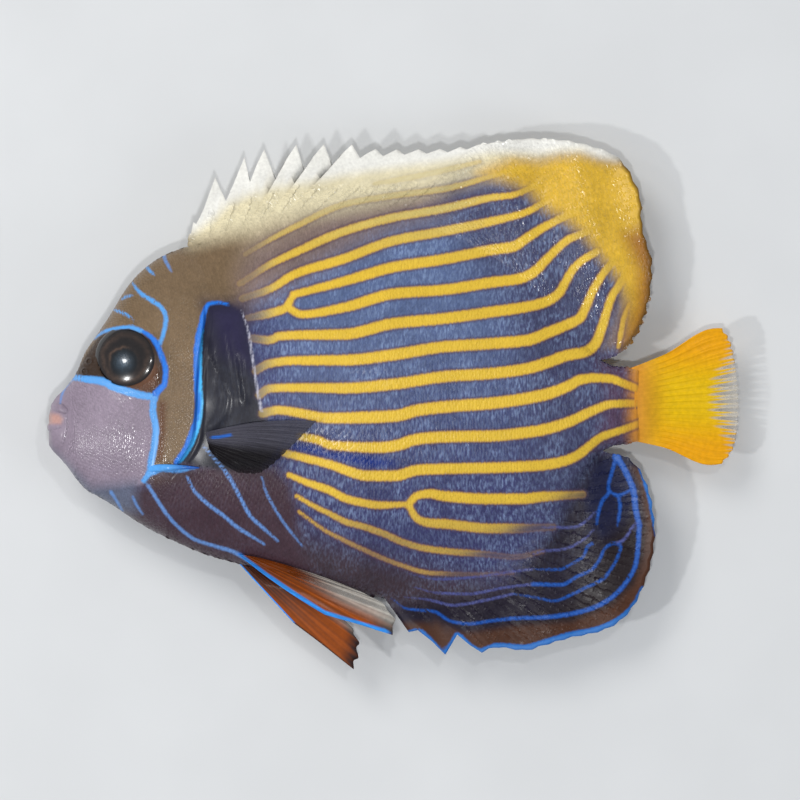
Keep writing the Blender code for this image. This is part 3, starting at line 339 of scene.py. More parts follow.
# Soft patches of the ground colour, laid over each other in this order: shade, blur, outline
PATCHES = (
    ("dusk", 5, ((-36, 16), (-22, 23), (-12, 29), (0, 35), (10, 38), (20, 43), (20, 48), (-50, 48))),
    ("flank_top", 4, ((-34, 29), (-24, 34), (-12, 39.5), (0, 42), (10, 44), (30, 60), (-60, 60))),
    ("flank_rear", 7, ((30, -22), (26, 0), (22, 20), (12, 36), (10, 44), (30, 48), (60, 40), (60, -22))),
    ("royal", 1.4, ((-25, -8.2), (-19, -8), (-12, -9.8), (-3, -11), (0, -12.2), (-4, -12.9), (-12, -11.2),
     (-19, -9.6), (-24, -10.2))),
    ("belly", 5, ((-24, -24), (-8, -29), (8, -33.5), (20, -36.5), (32, -35), (40, -29), (48, -20),
     (60, -18), (60, -60), (-40, -60))),
    ("breast", 2.2, ((-62, -17.8), (-57.4, -17.4), (-50.3, -16.4), (-49, -14.2), (-44, -13.2),
     (-38.5, -12), (-31, -11.5), (-24, -12.5), (-20.5, -16), (-19, -21), (-19, -28), (-12, -44),
     (-30, -44), (-62, -30))),
    ("nape", 4.2, ((-75, -10), (-75, 45), (-42, 45), (-38, 34.5), (-30, 34), (-31, 26), (-30.5, 18),
     (-36, 8), (-38, -8), (-44, -12.6), (-49, -14.2))),
    ("nape", 0.5, ((-75, -10), (-75, 30), (-44, 30), (-33.6, 20.2), (-38.9, 14), (-39.4, 5), (-39.3, -4),
     (-41.5, -9), (-44, -12.8), (-49, -14.2))),
    ("anal_inner", 2.5, ((33, -24), (38, -15), (41, -10), (45, -9), (55, -12), (58, -30), (50, -50),
     (0, -60), (-4, -42), (8, -39.5), (22, -38))),
    ("anal_patch", 1.2, ((38.4, -19), (40.6, -12.6), (44.5, -10.2), (48.6, -12.6), (49.4, -20),
     (46.6, -26.6), (42, -27.4), (39.4, -24))),
    ("anal_dark", 3, ((24, -46), (36, -40), (41, -33), (44.5, -26), (49.5, -22), (54, -30), (50, -46))),
    ("anal_brown", 1, ((2, -44.5), (9, -44.5), (14, -46.6), (24, -45.2), (36, -44.4), (44, -41),
     (48.6, -36.8), (50.6, -31), (51, -24), (50, -17.6), (48, -13), (60, -13), (60, -60), (0, -60))),
    ("band", 0.45, BAND),
    ("band_blue", 3, ((-38, 20), (-30, 20), (-27.6, 6), (-31, 8), (-35, 10))),
    ("cheek", 0.55, ((-64.9, 5), (-61.9, 4.4), (-58.8, 4), (-56.5, 3), (-53.4, 2), (-50.3, 1.3),
     (-48.2, 1), (-48.3, -1.6), (-47.9, -5.1), (-48.3, -8.6), (-49, -13), (-50.6, -16.4), (-55.5, -17.4),
     (-60.5, -17.9), (-63, -18.4), (-75, -12), (-75, 3))),
    ("eye_patch", 0.5, ((-64.9, 5.4), (-62, 10.2), (-59.6, 13.6), (-56.9, 14.7), (-53.4, 15.1),
     (-50.7, 14.3), (-48.7, 13), (-47.3, 11.4), (-46.5, 9.3), (-45.9, 6.6), (-46.4, 3.9), (-47.7, 1.8),
     (-53.4, 2.6), (-58.8, 4.6))),
    ("eye_warm", 1.3, ((-55, 3.6), (-49.6, 2), (-47.2, 3), (-47.2, 7), (-49, 9))),
    ("eye_warm", 0.9, ((-47.2, 0.5), (-45.8, 0), (-45.9, -6), (-46.4, -11.5), (-47.8, -12))),
    ("gum", 0.5, ((-70.4, -1.9), (-67.6, -2.3), (-66.8, -3.2), (-67.2, -4.2), (-70.4, -4.2))),
    ("jaw_shade", 2, ((-70.5, -8.6), (-66, -12.6), (-61, -17), (-52, -16), (-52, -22), (-75, -22))),
    ("peduncle", 2.5, ((41, 9), (43, 0), (40.5, -9), (60, -9), (60, 9))),
    ("tail_root", 1.9, ((48.2, 9.5), (47.7, 3), (47.3, -3), (48, -9.2), (60, -9.2), (60, 9.5))),
    ("dorsal_cream", 3.4, ((-41, 32.4), (-38, 33), (-34, 34), (-29.1, 34.8), (-23.9, 36.4), (-18, 37.8),
     (-11.5, 39), (-6, 40), (2, 41.8), (14, 45), (26, 48.2), (34, 50), (46, 50), (46, 60), (-50, 60))),
    ("dusk", 1.8, ((42.2, 11), (43.8, 15), (45.4, 20), (47, 25), (50, 20), (48, 11))),
    ("dorsal_yellow", 2.4, ((17, 46.6), (24, 44.2), (27.5, 42.4), (29.5, 39.8), (32.5, 38.2),
     (35.5, 36.2), (38.6, 33.6), (41, 30.4), (43.4, 27.4), (45.4, 24.6), (47, 21), (47.6, 14), (48.6, 8),
     (60, 8), (60, 47), (46.4, 49), (41.9, 49.4), (37.8, 50.6), (33.7, 50.2), (29.5, 49.2), (24, 49.8))),
    ("dorsal_ochre", 2.6, ((46.6, 34), (49.4, 27), (48.8, 20), (46.4, 12), (60, 8), (60, 40))),
    ("dorsal_white", 1.5, ((-42, 34), (-40.3, 34.6), (-37.2, 36.8), (-33.2, 40.4), (-29.1, 42.2),
     (-23.9, 43.8), (-18, 44.6), (-11.5, 45.8), (-6.1, 46.8), (1, 47.8), (10, 49), (20, 50.8),
     (29.5, 50.6), (33.7, 51.3), (37.8, 51.4), (41.9, 49.9), (44.4, 49.5), (46.5, 49.6), (48, 56),
     (-50, 60))),
)
PAINT_STEP = 0.25
PAINT_BOX = (-72.0, -56.0, 72.0, 56.0)
FAR = 4.0

# Pectoral fins: root, blue mark and, for each side, edge, lift at root and tip, and sideways bow
PECTORAL_ROOT = ((-37.8, -5.9), (-37, -9.4))
PECTORAL_MARK = ((-36.4, -6.9), (-35, -6.8), (-32.8, -6.4))
PECTORALS = (
    (1, ((-15.4, -3.6), (-18.2, -6.4), (-21.4, -9.6), (-24.4, -12.4), (-27.6, -14.2), (-31.0, -14.0)),
     (0.1, 1.5), 1.0),
    (-1, ((-25.6, -24.6), (-28.4, -26.0), (-31.2, -25.6), (-33.6, -23.2), (-35.2, -19.6)), (0.0, 0.0), 0.0),
)
PECTORAL_RAYS = 14
# Pelvic fins, by side: root, rays' tips and the spine's blue line, and their cut, bow and colour; the far fin
# is painted brighter against the shade it lies in
PELVICS = {
    1: dict(
        root=((-31.6, -30.4), (-27.0, -31.2)),
        tips=((-14.0, -42.8), (-0.3, -46.9), (0.3, -43.7), (-2.2, -40.4), (-6.4, -38.2), (-10.8, -36.4)),
        line=((-32.4, -30.0), (-31, -30.9), (-26, -34.8), (-20, -38.9), (-14.3, -42.5), (-8, -44.5),
              (-1.6, -46.4)),
        wide=0.85, notch=0.3, bow=-0.5, painted_brightening=1.0, grey=(1.0, 0.2, 0.5), dark_root=0.0, fringe=0.82, bands=0.4,
    ),
    -1: dict(
        root=((-32.8, -31.0), (-28.8, -31.6)),
        tips=((-20.4, -44.5), (-8.2, -54.0), (-7.2, -51.6), (-7.0, -48.6), (-8.2, -45.8), (-11.0, -42.6)),
        line=((-32.8, -31.0), (-20.4, -44.5)),
        wide=0.3, notch=0.7, bow=0.0, painted_brightening=1.2, grey=(0.35, 0.6, 0.9), dark_root=1.0, fringe=0.86, bands=0.2,
    ),
}
# Half thickness of the tail and the paired fins: the web and the rays, at the root and at the edge
TAIL_WEB = (0.16, 0.06)
TAIL_RIDGE = (0.26, 0.12)
RIDGE_SPREAD = 1 / 7
TAIL_FLARE = 1.3
TAIL_JOINTS = 46
TAIL_CLEAR_X = 63.2
TAIL_NOTCH = 0.35
PAIRED_WEB = (0.13, 0.06)
PAIRED_RIDGE_END = 0.1
PAIRED_FLESH = 0.75
SUNK_ROOT = -0.55

# A scale's length over its spacing along its lie, its half width over that across, and its share of
# the coat's rise
BODY_SCALE = (1.75, 0.66)
FIN_SCALE = (1.9, 0.95)
SCALE_RISE = {"flank": 0.7, "head": 0.45, "nape": 0.45, "dorsal": 0.5, "anal": 0.5}
# Bare skin: round the eye, a nostril and the whitish line, and on the snout and the tail's root
BARE_EYE = ORBIT_RADIUS + 0.45
BARE_NOSTRIL = 0.9
BARE_CHALK = 0.5
BARE_SNOUT_X = -66.2
BARE_TAIL = (47.6, 9)

# The coats of the wet skin, lips, dull scales and wet scales: weight and roughness
SKIN_COAT = (0.3, 0.2)
LIP_COAT = (0.5, 0.13)
DULL_COAT = (0.14, 0.22)
WET_COAT = (0.8, 0.15)
# Noise on the skin, as waves a metre: its grain, its patches and the flank's upright streaks
GRAIN = 1600
BLOTCHES = 150
STREAKS = 2500
BUMP = 0.00005
LINE_CORE = (0.6, 0.82, 1.0, 1.0)

# Lights: name, place, size, share of the power and colour. Only the glints show in wet surfaces
SOFT_LIGHTS = (
    ("soft_light", (-0.5, 0.62, 0.7), 0.5, 1.0, (1.0, 0.98, 0.95)),
    ("side_light", (0.75, -0.35, 0.5), 0.4, 0.3, (0.95, 0.97, 1.0)),
)
WHITE = (1.0, 1.0, 1.0)
GLINTS = (
    ("flank_glint", (-0.004, -0.079, 0.62), 0.03, 1.0, WHITE),
    ("eye_glint", (-0.642, 0.209, 0.62), 0.07, 0.4, WHITE),
    ("cheek_glint", (-0.57, -0.2, 0.62), 0.05, 2.0, WHITE),
    ("fin_glint", (0.1, 0.149, 0.62), 0.04, 0.4, WHITE),
)
ROOM_COLOUR = (0.9, 0.93, 1.0, 1.0)
ROOM_STRENGTH = 0.32
CAMERA_LENS = 250
CAMERA_SENSOR = 36
SIDES = ((1, "left"), (-1, "right"))


def linear(red, green, blue):
    """A screen colour of 0 to 255 as the linear colour that shaders take."""
    share = np.array([red, green, blue], float) / 255
    return tuple(np.where(share < 0.04045, share / 12.92, ((share + 0.055) / 1.055) ** 2.4).tolist())


def line_through(points):
    """A smooth function through points of rising first value, which never overshoots them.

    Between two points it is the cubic with the harmonic mean of the slopes at its ends.
    """
    px, py = np.array(points, float).T
    step = np.diff(px)
    slope = np.diff(py) / step
    tangent = np.zeros(len(px))
    tangent[0], tangent[-1] = slope[0], slope[-1]
    same = slope[:-1] * slope[1:] > 0
    before, after = 2 * step[1:] + step[:-1], step[1:] + 2 * step[:-1]
    ratio = np.where(same, before / np.where(same, slope[:-1], 1) + after / np.where(same, slope[1:], 1), 1)
    tangent[1:-1] = np.where(same, (before + after) / ratio, 0)

    def read(x):
        x = np.clip(np.asarray(x, float), px[0], px[-1])
        i = np.clip(np.searchsorted(px, x) - 1, 0, len(step) - 1)
        s = (x - px[i]) / step[i]
        start = (1 + 2 * s) * (1 - s) ** 2 * py[i] + s * (1 - s) ** 2 * step[i] * tangent[i]
        end = s * s * (3 - 2 * s) * py[i + 1] + s * s * (s - 1) * step[i] * tangent[i + 1]
        return start + end

    return read


def run_along(points):
    """The length passed at each point of a path, from 0 at its start."""
    return np.concatenate([[0], np.cumsum(np.linalg.norm(np.diff(points, axis=0), axis=1))])


def unit(vectors):
    """Vectors along the last axis, at length 1."""
    return vectors / np.maximum(np.linalg.norm(vectors, axis=-1, keepdims=True), 1e-9)


def bell(distance, spread):
    """The bell curve exp(-(distance / spread)^2)."""
    return np.exp(-((distance / spread) ** 2))


def path_through(points):
    """A smooth plan curve through points, as a function of the share of its chord length."""
    points = np.array(points, float)
    run = run_along(points)
    across, up = (line_through(list(zip(run / run[-1], column))) for column in points.T)
    return lambda share: np.stack([across(share), up(share)], axis=-1)


def ease(value, low, high):
    """0 below low, 1 above high, and a smooth rise between."""
    s = np.clip((np.asarray(value, float) - low) / (high - low), 0, 1)
    return s * s * (3 - 2 * s)


def mix(first, second, share):
    """first at share 0 and second at share 1, along straight lines."""
    return first + (second - first) * share


def mound(x, y, centre, spread_x, spread_y, height):
    """A smooth hill on centre: height times the bell curve of the distance over the spreads."""
    return height * bell(x - centre[0], spread_x) * bell(y - centre[1], spread_y)


def from_path(x, y, points):
    """Distance in the plan from a line of straight steps, and the share of its length passed there."""
    points = np.asarray(points, float)
    run = run_along(points)
    nearest, passed = np.full(np.shape(x), 1e9), np.zeros(np.shape(x))
    for i, ((ax, ay), (bx, by)) in enumerate(zip(points[:-1], points[1:])):
        length = run[i + 1] - run[i]
        along = np.clip(((x - ax) * (bx - ax) + (y - ay) * (by - ay)) / length**2, 0, 1)
        distance = np.hypot(x - ax - along * (bx - ax), y - ay - along * (by - ay))
        closer = distance < nearest
        nearest = np.where(closer, distance, nearest)
        passed = np.where(closer, run[i] + along * length, passed)
    return nearest, passed / run[-1]


back_line = line_through(BACK)
belly_line = line_through(BELLY)
half_width = line_through(HALF_WIDTH)
close_at_back = line_through(CLOSE_AT_BACK)
close_at_belly = line_through(CLOSE_AT_BELLY)
root_at_back = line_through(ROOT_AT_BACK)
root_at_belly = line_through(ROOT_AT_BELLY)
cheek_line = line_through(CHEEK_LINE)
gill_line = line_through(GILL_LINE)


def height_share(x, y):
    """0 on the belly line and 1 on the back line."""
    top, bottom = back_line(x), belly_line(x)
    return (y - bottom) / (top - bottom)


def body_half(x, y):
    """Half the body's thickness at a point of the plan.

    The section closes as (1 - s^2)^k, with s running from the widest level to the outline.
    The lids' swelling, the fold of the jaw, the cheek's groove and the hollows are added.
    """
    share = height_share(x, y)
    above = share > WIDEST_SHARE
    s = np.where(above, (share - WIDEST_SHARE) / (1 - WIDEST_SHARE), (WIDEST_SHARE - share) / WIDEST_SHARE)
    power = np.where(above, close_at_back(x), close_at_belly(x))
    root = np.where(above, root_at_back(x), root_at_belly(x))
    closing = np.clip(1 - s * s, 0, 1) ** power
    half = root + (half_width(x) - root) * closing
    from_eye = np.hypot(x - EYE_CENTRE[0], y - EYE_CENTRE[1])
    half = half + LID_RISE * bell(from_eye - LID_RADIUS, LID_SPREAD) * closing
    half = half - JAW_FOLD_DEPTH * bell(from_path(x, y, JAW_FOLD)[0], JAW_FOLD_SPREAD) * closing
    groove = CHEEK_GROOVE * bell(x - cheek_line(share), CHEEK_GROOVE_SPREAD)
    groove = groove * ease(share, 0.15, 0.3) * (1 - ease(share, 0.62, 0.75))
    half = half - groove - mound(x, y, *AXIL_HOLLOW) - mound(x, y, *GILL_HOLLOW)
    for height, spread, fold in BAND_FOLDS:
        half = half + height * bell(from_path(x, y, fold)[0], spread)
    snout = np.sqrt(np.clip((x - BACK[0][0]) / SNOUT_ROUND, 0, 1))
    hem = mix(1, TAIL_HEM[2], ease(x, *TAIL_HEM[:2]))
    return np.maximum(half, 0.0) * snout * hem


def middle(x, y):
    """Height of the fish's middle sheet over the floor: level, but sagging to the limp edges."""
    level = MID_LEVEL
    for out, (start, reach, drop) in ((x, TAIL_SAG), (y, BACK_SAG), (-y, BELLY_SAG)):
        level = level - drop * (np.clip(out - start, 0, None) / reach) ** 2
    return level


def grid_faces(index, turned=False):
    """Four-sided faces over a grid of vertex numbers, facing up when its axes run along X and Y."""
    faces = np.stack([index[:-1, :-1], index[1:, :-1], index[1:, 1:], index[:-1, 1:]], -1).reshape(-1, 4)
    return faces[:, ::-1] if turned else faces


def looped(index):
    """A grid of vertex numbers with its first column once more after its last."""
    return np.concatenate([index, index[:, :1]], 1)


def fan(ring, tip):
    """Triangles from each step of a closed ring of vertex numbers to one vertex."""
    return np.stack([ring[:-1], ring[1:], np.full(len(ring) - 1, tip)], -1)


def turns(count):
    """Even angles once round."""
    return np.linspace(0, 2 * math.pi, count, endpoint=False)


def new_mesh(name, points, quads, triangles=None, colours=None, numbers=None, uvs=None):
    """A smooth mesh object from plan millimetres, its faces, and what it holds at each vertex."""
    quads = np.asarray(quads, np.int32).reshape(-1, 4)
    triangles = np.zeros((0, 3), np.int32) if triangles is None else np.asarray(triangles, np.int32)
    used = np.zeros(len(points), bool)
    used[quads.ravel()] = True
    used[triangles.ravel()] = True
    renumber = np.cumsum(used) - 1
    corners = np.concatenate([renumber[quads].ravel(), renumber[triangles].ravel()]).astype(np.int32)
    sizes = np.concatenate([np.full(len(quads), 4), np.full(len(triangles), 3)])
    starts = np.concatenate([[0], np.cumsum(sizes)[:-1]]).astype(np.int32)
    mesh = bpy.data.meshes.new(name)
    mesh.vertices.add(int(used.sum()))
    inside = np.clip(np.asarray(points, float)[used] * MM, *FRAME_BOX)
    mesh.vertices.foreach_set("co", inside.astype(np.float32).ravel())
    mesh.loops.add(len(corners))
    mesh.loops.foreach_set("vertex_index", corners)
    mesh.polygons.add(len(sizes))
    mesh.polygons.foreach_set("loop_start", starts)
    mesh.update(calc_edges=True)
    mesh.shade_smooth()
    for word, values in (colours or {}).items():
        attribute = mesh.attributes.new(word, "FLOAT_COLOR", "POINT")
        rgba = np.concatenate([np.asarray(values, float)[used], np.ones((int(used.sum()), 1))], 1)
        attribute.data.foreach_set("color", rgba.astype(np.float32).ravel())
    for word, values in (numbers or {}).items():
        attribute = mesh.attributes.new(word, "FLOAT", "POINT")
        attribute.data.foreach_set("value", np.asarray(values, np.float32)[used])
    if uvs is not None:
        layer = mesh.uv_layers.new(name="OFBake")
        layer.data.foreach_set("uv", np.asarray(uvs, np.float32).ravel())
    if mesh.validate():
        raise RuntimeError(f"the mesh of {name} had faults")
    obj = bpy.data.objects.new(name, mesh)
    bpy.context.scene.collection.objects.link(obj)
    return obj


def open_edges(quads, triangles):
    """Directed edges, as pairs of vertex numbers, that belong to one face only."""
    pairs = np.concatenate([
        faces[:, [k, (k + 1) % faces.shape[1]]] for faces in (quads, triangles) for k in range(faces.shape[1])
    ])
    low, high = pairs.min(1).astype(np.int64), pairs.max(1).astype(np.int64)
    _, first, count = np.unique(low * (high.max() + 1) + high, return_index=True, return_counts=True)
    return pairs[first[count == 1]]


def spread_rows():
    """Shares of the body's height, close together where its section turns round to the other flank."""
    return 0.5 - 0.5 * np.cos(np.linspace(0, math.pi, BODY_ROWS + 1))


def body_columns(shares):
    """X of every column of the skin at each share, and the columns where its parts begin.

    A column's X is the straight mix of the two lines across the body that it lies between.
    """
    opening = ease(shares, *GILL_OPENING[:2]) * (1 - ease(shares, *GILL_OPENING[2:]))
    gill = gill_line(shares)
    lip = np.array(GILL_LIP)
    lined = np.linspace(-0.3, 0.6, len(lip))
    lip_x = gill + lined[:, None] + (lip[:, 0] - lined)[:, None] * opening
    first_ray = gill + 1.0 + 0.9 * opening
    starts = [
        np.full_like(shares, BACK[0][0]), cheek_line(shares), lip_x[0], first_ray,
        mix(ANAL_ROOT[1], DORSAL_ROOT[1], shares), mix(ANAL_ROOT[2], DORSAL_ROOT[2], shares),
        np.full_like(shares, DORSAL_ROOT[3]), np.full_like(shares, BACK[-1][0]),
    ]
    counts = [SNOUT_COLUMNS, COVER_COLUMNS, 0, 10 * SPINE_COLUMNS, 2 * SPINE_COLUMNS,
              SOFT_RAYS * RAY_COLUMNS, TAIL_COLUMNS]
    columns, marks = [], []
    for place, count in enumerate(counts):
        marks.append(sum(len(block) for block in columns))
        if place == 2:
            columns.append(lip_x)
            continue
        part = np.linspace(0, 1, count, endpoint=False)
        part = part**1.2 if place == 0 else part
        columns.append(mix(starts[place], starts[place + 1], part[:, None]))
    marks.append(sum(len(block) for block in columns))
    columns.append(starts[-1][None, :])
    return np.concatenate(columns), marks, opening


def body_sheet():
    """The body's plan and half thickness on its grid, with the gill cover lifted at its free edge."""
    shares = spread_rows()
    x, marks, opening = body_columns(shares)
    bottom, top = belly_line(x), back_line(x)
    y = bottom + (top - bottom) * shares[None, :]
    half = body_half(x, y)
    columns = np.arange(len(x))[:, None]
    cover = ease(columns, marks[1], marks[2]) * (columns <= marks[2])
    lift = COVER_PROUD * cover * opening
    lip = np.zeros_like(x)
    lip[marks[2]:marks[3]] = (np.array(GILL_LIP)[:, 1] + COVER_PROUD)[:, None] * opening
    lift = np.where((columns >= marks[2]) & (columns < marks[3]), lip, lift)
    return x, y, np.maximum(half + lift, 0.0) * (half > 0), marks


def edge_columns(points, per_interval):
    """A spiny edge's point in each column, with its tips a fixed count of columns apart."""
    listed = np.array(points, float)
    tips = np.flatnonzero(listed[:, 2])
    column = np.zeros(len(listed))
    for k, (start, end) in enumerate(zip(tips[:-1], tips[1:])):
        column[start:end + 1] = per_interval * (k + np.linspace(0, 1, end - start + 1))
    wanted = np.arange(per_interval * (len(tips) - 1) + 1)
    return np.stack([np.interp(wanted, column, listed[:, axis]) for axis in (0, 1)], -1)


def fin_sheet(roots, root_half, spiny, soft):
    """Plan and half thickness of a fin whose columns run straight from its roots to its edge.

    The spiny part has one ridge a spine. In the soft part each ray's ridge parts in two on
    its way out, and the edge is cut back between the rays.
    """
    spiny_edge = edge_columns(spiny, SPINE_COLUMNS)
    soft_count = SOFT_RAYS * RAY_COLUMNS
    soft_edge = path_through(soft)(np.linspace(0, 1, soft_count + 1))[1:]
    edge = np.concatenate([spiny_edge, soft_edge])
    number = np.arange(len(edge))
    spine_count = len(spiny_edge)
    in_soft = number >= spine_count
    from_ray = np.where(in_soft, (number - spine_count + 1) % RAY_COLUMNS, number % SPINE_COLUMNS)
    count = np.where(in_soft, RAY_COLUMNS, SPINE_COLUMNS)
    from_ray = np.minimum(from_ray, count - from_ray)
    cut = FIN_FRINGE * in_soft * np.sin(math.pi * from_ray / count) ** 2
    edge = edge - unit(edge - roots) * cut[:, None]
    share = np.linspace(0, 1, FIN_ROWS + 1)
    plan = roots[:, None] + (edge - roots)[:, None] * share[None, :, None]
    split = ease(share, *RAY_SPLIT)[None, :] * in_soft[:, None]
    stem = np.where(from_ray == 0, 1.0, np.where(from_ray == 1, 0.3, 0.0))[:, None]
    branch = np.where(from_ray == 1, 0.8, 0.0)[:, None]
    ridge = mix(stem, branch, split)
    crest = np.where(in_soft, RAY_CREST, SPINE_CREST)[:, None]
    ray = mix(crest, EDGE_CREST, share[None, :])
    web = mix(*WEB, share[None, :])
    blade = web + (ray - web) * ridge
    half = blade + (root_half[:, None] - blade) * np.clip(1 - share, 0, 1)[None, :] ** 3
    return plan[..., 0], plan[..., 1], half


def orbit_rings(loop, level):
    """The skin round an eye: rings that close in from a loop of the body's grid to the socket.

    The outer rings are straight mixes from the loop to a circle, and the inner ones are
    circles of falling radius, whose depth rolls over the lid's rim and down behind it.
    """
    centre = np.array(EYE_CENTRE)
    toward = unit(loop - centre)
    foot = centre + toward * (ORBIT_RADIUS + LID_FOOT)
    outer = [mix(loop, foot, share) for share in np.linspace(0, 1, 9)[1:]]
    plan = np.array(outer + [centre + toward * (ORBIT_RADIUS + out) for out, _ in LID_RIM])
    drops = np.array([0.0] * len(outer) + [drop for _, drop in LID_RIM])
    half = level(plan[..., 0], plan[..., 1]) + drops[:, None]
    return plan, half, centre, float(level(*centre)) - SOCKET_DEPTH


def skin_sheets(coat_depth):
    """The plan mesh of the whole skin, with its half thickness, and the grids that scales lie on."""
    x, y, half, marks = body_sheet()
    columns, rows = x.shape
    body = np.arange(columns * rows).reshape(columns, rows)
    plan = [np.stack([x, y], -1).reshape(-1, 2)]
    halves = [half.ravel()]
    quads = []
    begin = int(round(FACE_WINDOW[0] ** (1 / 1.2) * SNOUT_COLUMNS))
    shares = spread_rows()
    low, high = np.searchsorted(shares, FACE_WINDOW[1]), np.searchsorted(shares, FACE_WINDOW[2])
    kept = np.ones((columns - 1, rows - 1), bool)
    kept[begin:SNOUT_COLUMNS, low:high] = False
    quads.append(grid_faces(body)[kept.ravel()])

    loop = np.concatenate([
        body[begin:SNOUT_COLUMNS, low], body[SNOUT_COLUMNS, low:high], body[SNOUT_COLUMNS:begin:-1, high],
        body[begin, high:low:-1],
    ])
    ring_plan, ring_half, centre, deepest = orbit_rings(plan[0][loop], body_half)
    start = columns * rows
    rings = np.concatenate([loop[None], start + np.arange(ring_half.size).reshape(ring_half.shape)])
    middle_vertex = start + ring_half.size
    plan += [ring_plan.reshape(-1, 2), centre[None]]
    halves += [ring_half.ravel(), [deepest]]
    closed = looped(rings)
    quads.append(grid_faces(closed.T))
    triangles = fan(closed[-1], middle_vertex)
    start = middle_vertex + 1

    grids = {"body": (x, y, half)}
    dorsal_from, soft_from, fin_to = marks[3], marks[4], marks[6]
    for name, row, begins, spiny, soft, turned in (
        ("dorsal", rows - 1, dorsal_from, DORSAL_SPINY_EDGE, DORSAL_EDGE, False),
        ("anal", 0, soft_from, ANAL_SPINY_EDGE, ANAL_EDGE, True),
    ):
        root = body[begins:fin_to + 1, row]
        fx, fy, fh = fin_sheet(plan[0][root], halves[0][root], spiny, soft)
        fresh = start + np.arange(fx[:, 1:].size).reshape(fx[:, 1:].shape)
        index = np.concatenate([root[:, None], fresh], 1)
        plan.append(np.stack([fx[:, 1:], fy[:, 1:]], -1).reshape(-1, 2))
        halves.append(fh[:, 1:].ravel())
        quads.append(grid_faces(index[:, ::-1] if turned else index))
        grids[name] = (fx, fy, fh)
        start += fresh.size
    half = np.maximum(np.concatenate(halves) - coat_depth, THINNEST)
    return np.concatenate(plan), half, np.concatenate(quads), triangles, grids


def fin_wave(x, y):
    """The slight ripple of the limp fins, which grows with the distance from the body."""
    out = np.maximum(y - back_line(x), belly_line(x) - y)
    return 0.3 * ease(out, 0.0, 12.0) * np.sin(0.42 * x + 0.11 * y)


def sheet_height(x, y, half, side):
    """Height over the floor of the skin's upper or lower sheet, which never passes the floor."""
    return np.maximum(middle(x, y) + fin_wave(x, y) + side * half, REST_LEVEL)


def inside_path(x, y, points):
    """True where a point is inside a closed outline, by counting the sides a level ray crosses."""
    inside = np.zeros(np.shape(x), bool)
    for (ax, ay), (bx, by) in zip(points, np.roll(points, -1, axis=0)):
        crosses = (ay > y) != (by > y)
        inside ^= crosses & (x < (bx - ax) * (y - ay) / np.where(by == ay, 1e-9, by - ay) + ax)
    return inside


def soft_patch(x, y, outline, blur):
    """1 inside a closed outline and 0 outside, with an eased change blur wide to either side."""
    outline = np.array(outline, float)
    distance, _ = from_path(x, y, np.concatenate([outline, outline[:1]]))
    return ease(np.where(inside_path(x, y, outline), distance, -distance), -blur, blur)


def window(x, y, points, margin):
    """The slices of the paint grid that hold a path and a margin round it."""
    low, high = points.min(0) - margin, points.max(0) + margin
    columns = slice(*np.searchsorted(x[:, 0], [low[0], high[0]]))
    return columns, slice(*np.searchsorted(y[0], [low[1], high[1]]))


def smooth_path(points):
    """Points about 0.6 mm apart on the smooth curve through a few."""
    points = np.array(points, float)
    return path_through(points)(np.linspace(0, 1, max(8, int(run_along(points)[-1] / 0.6))))


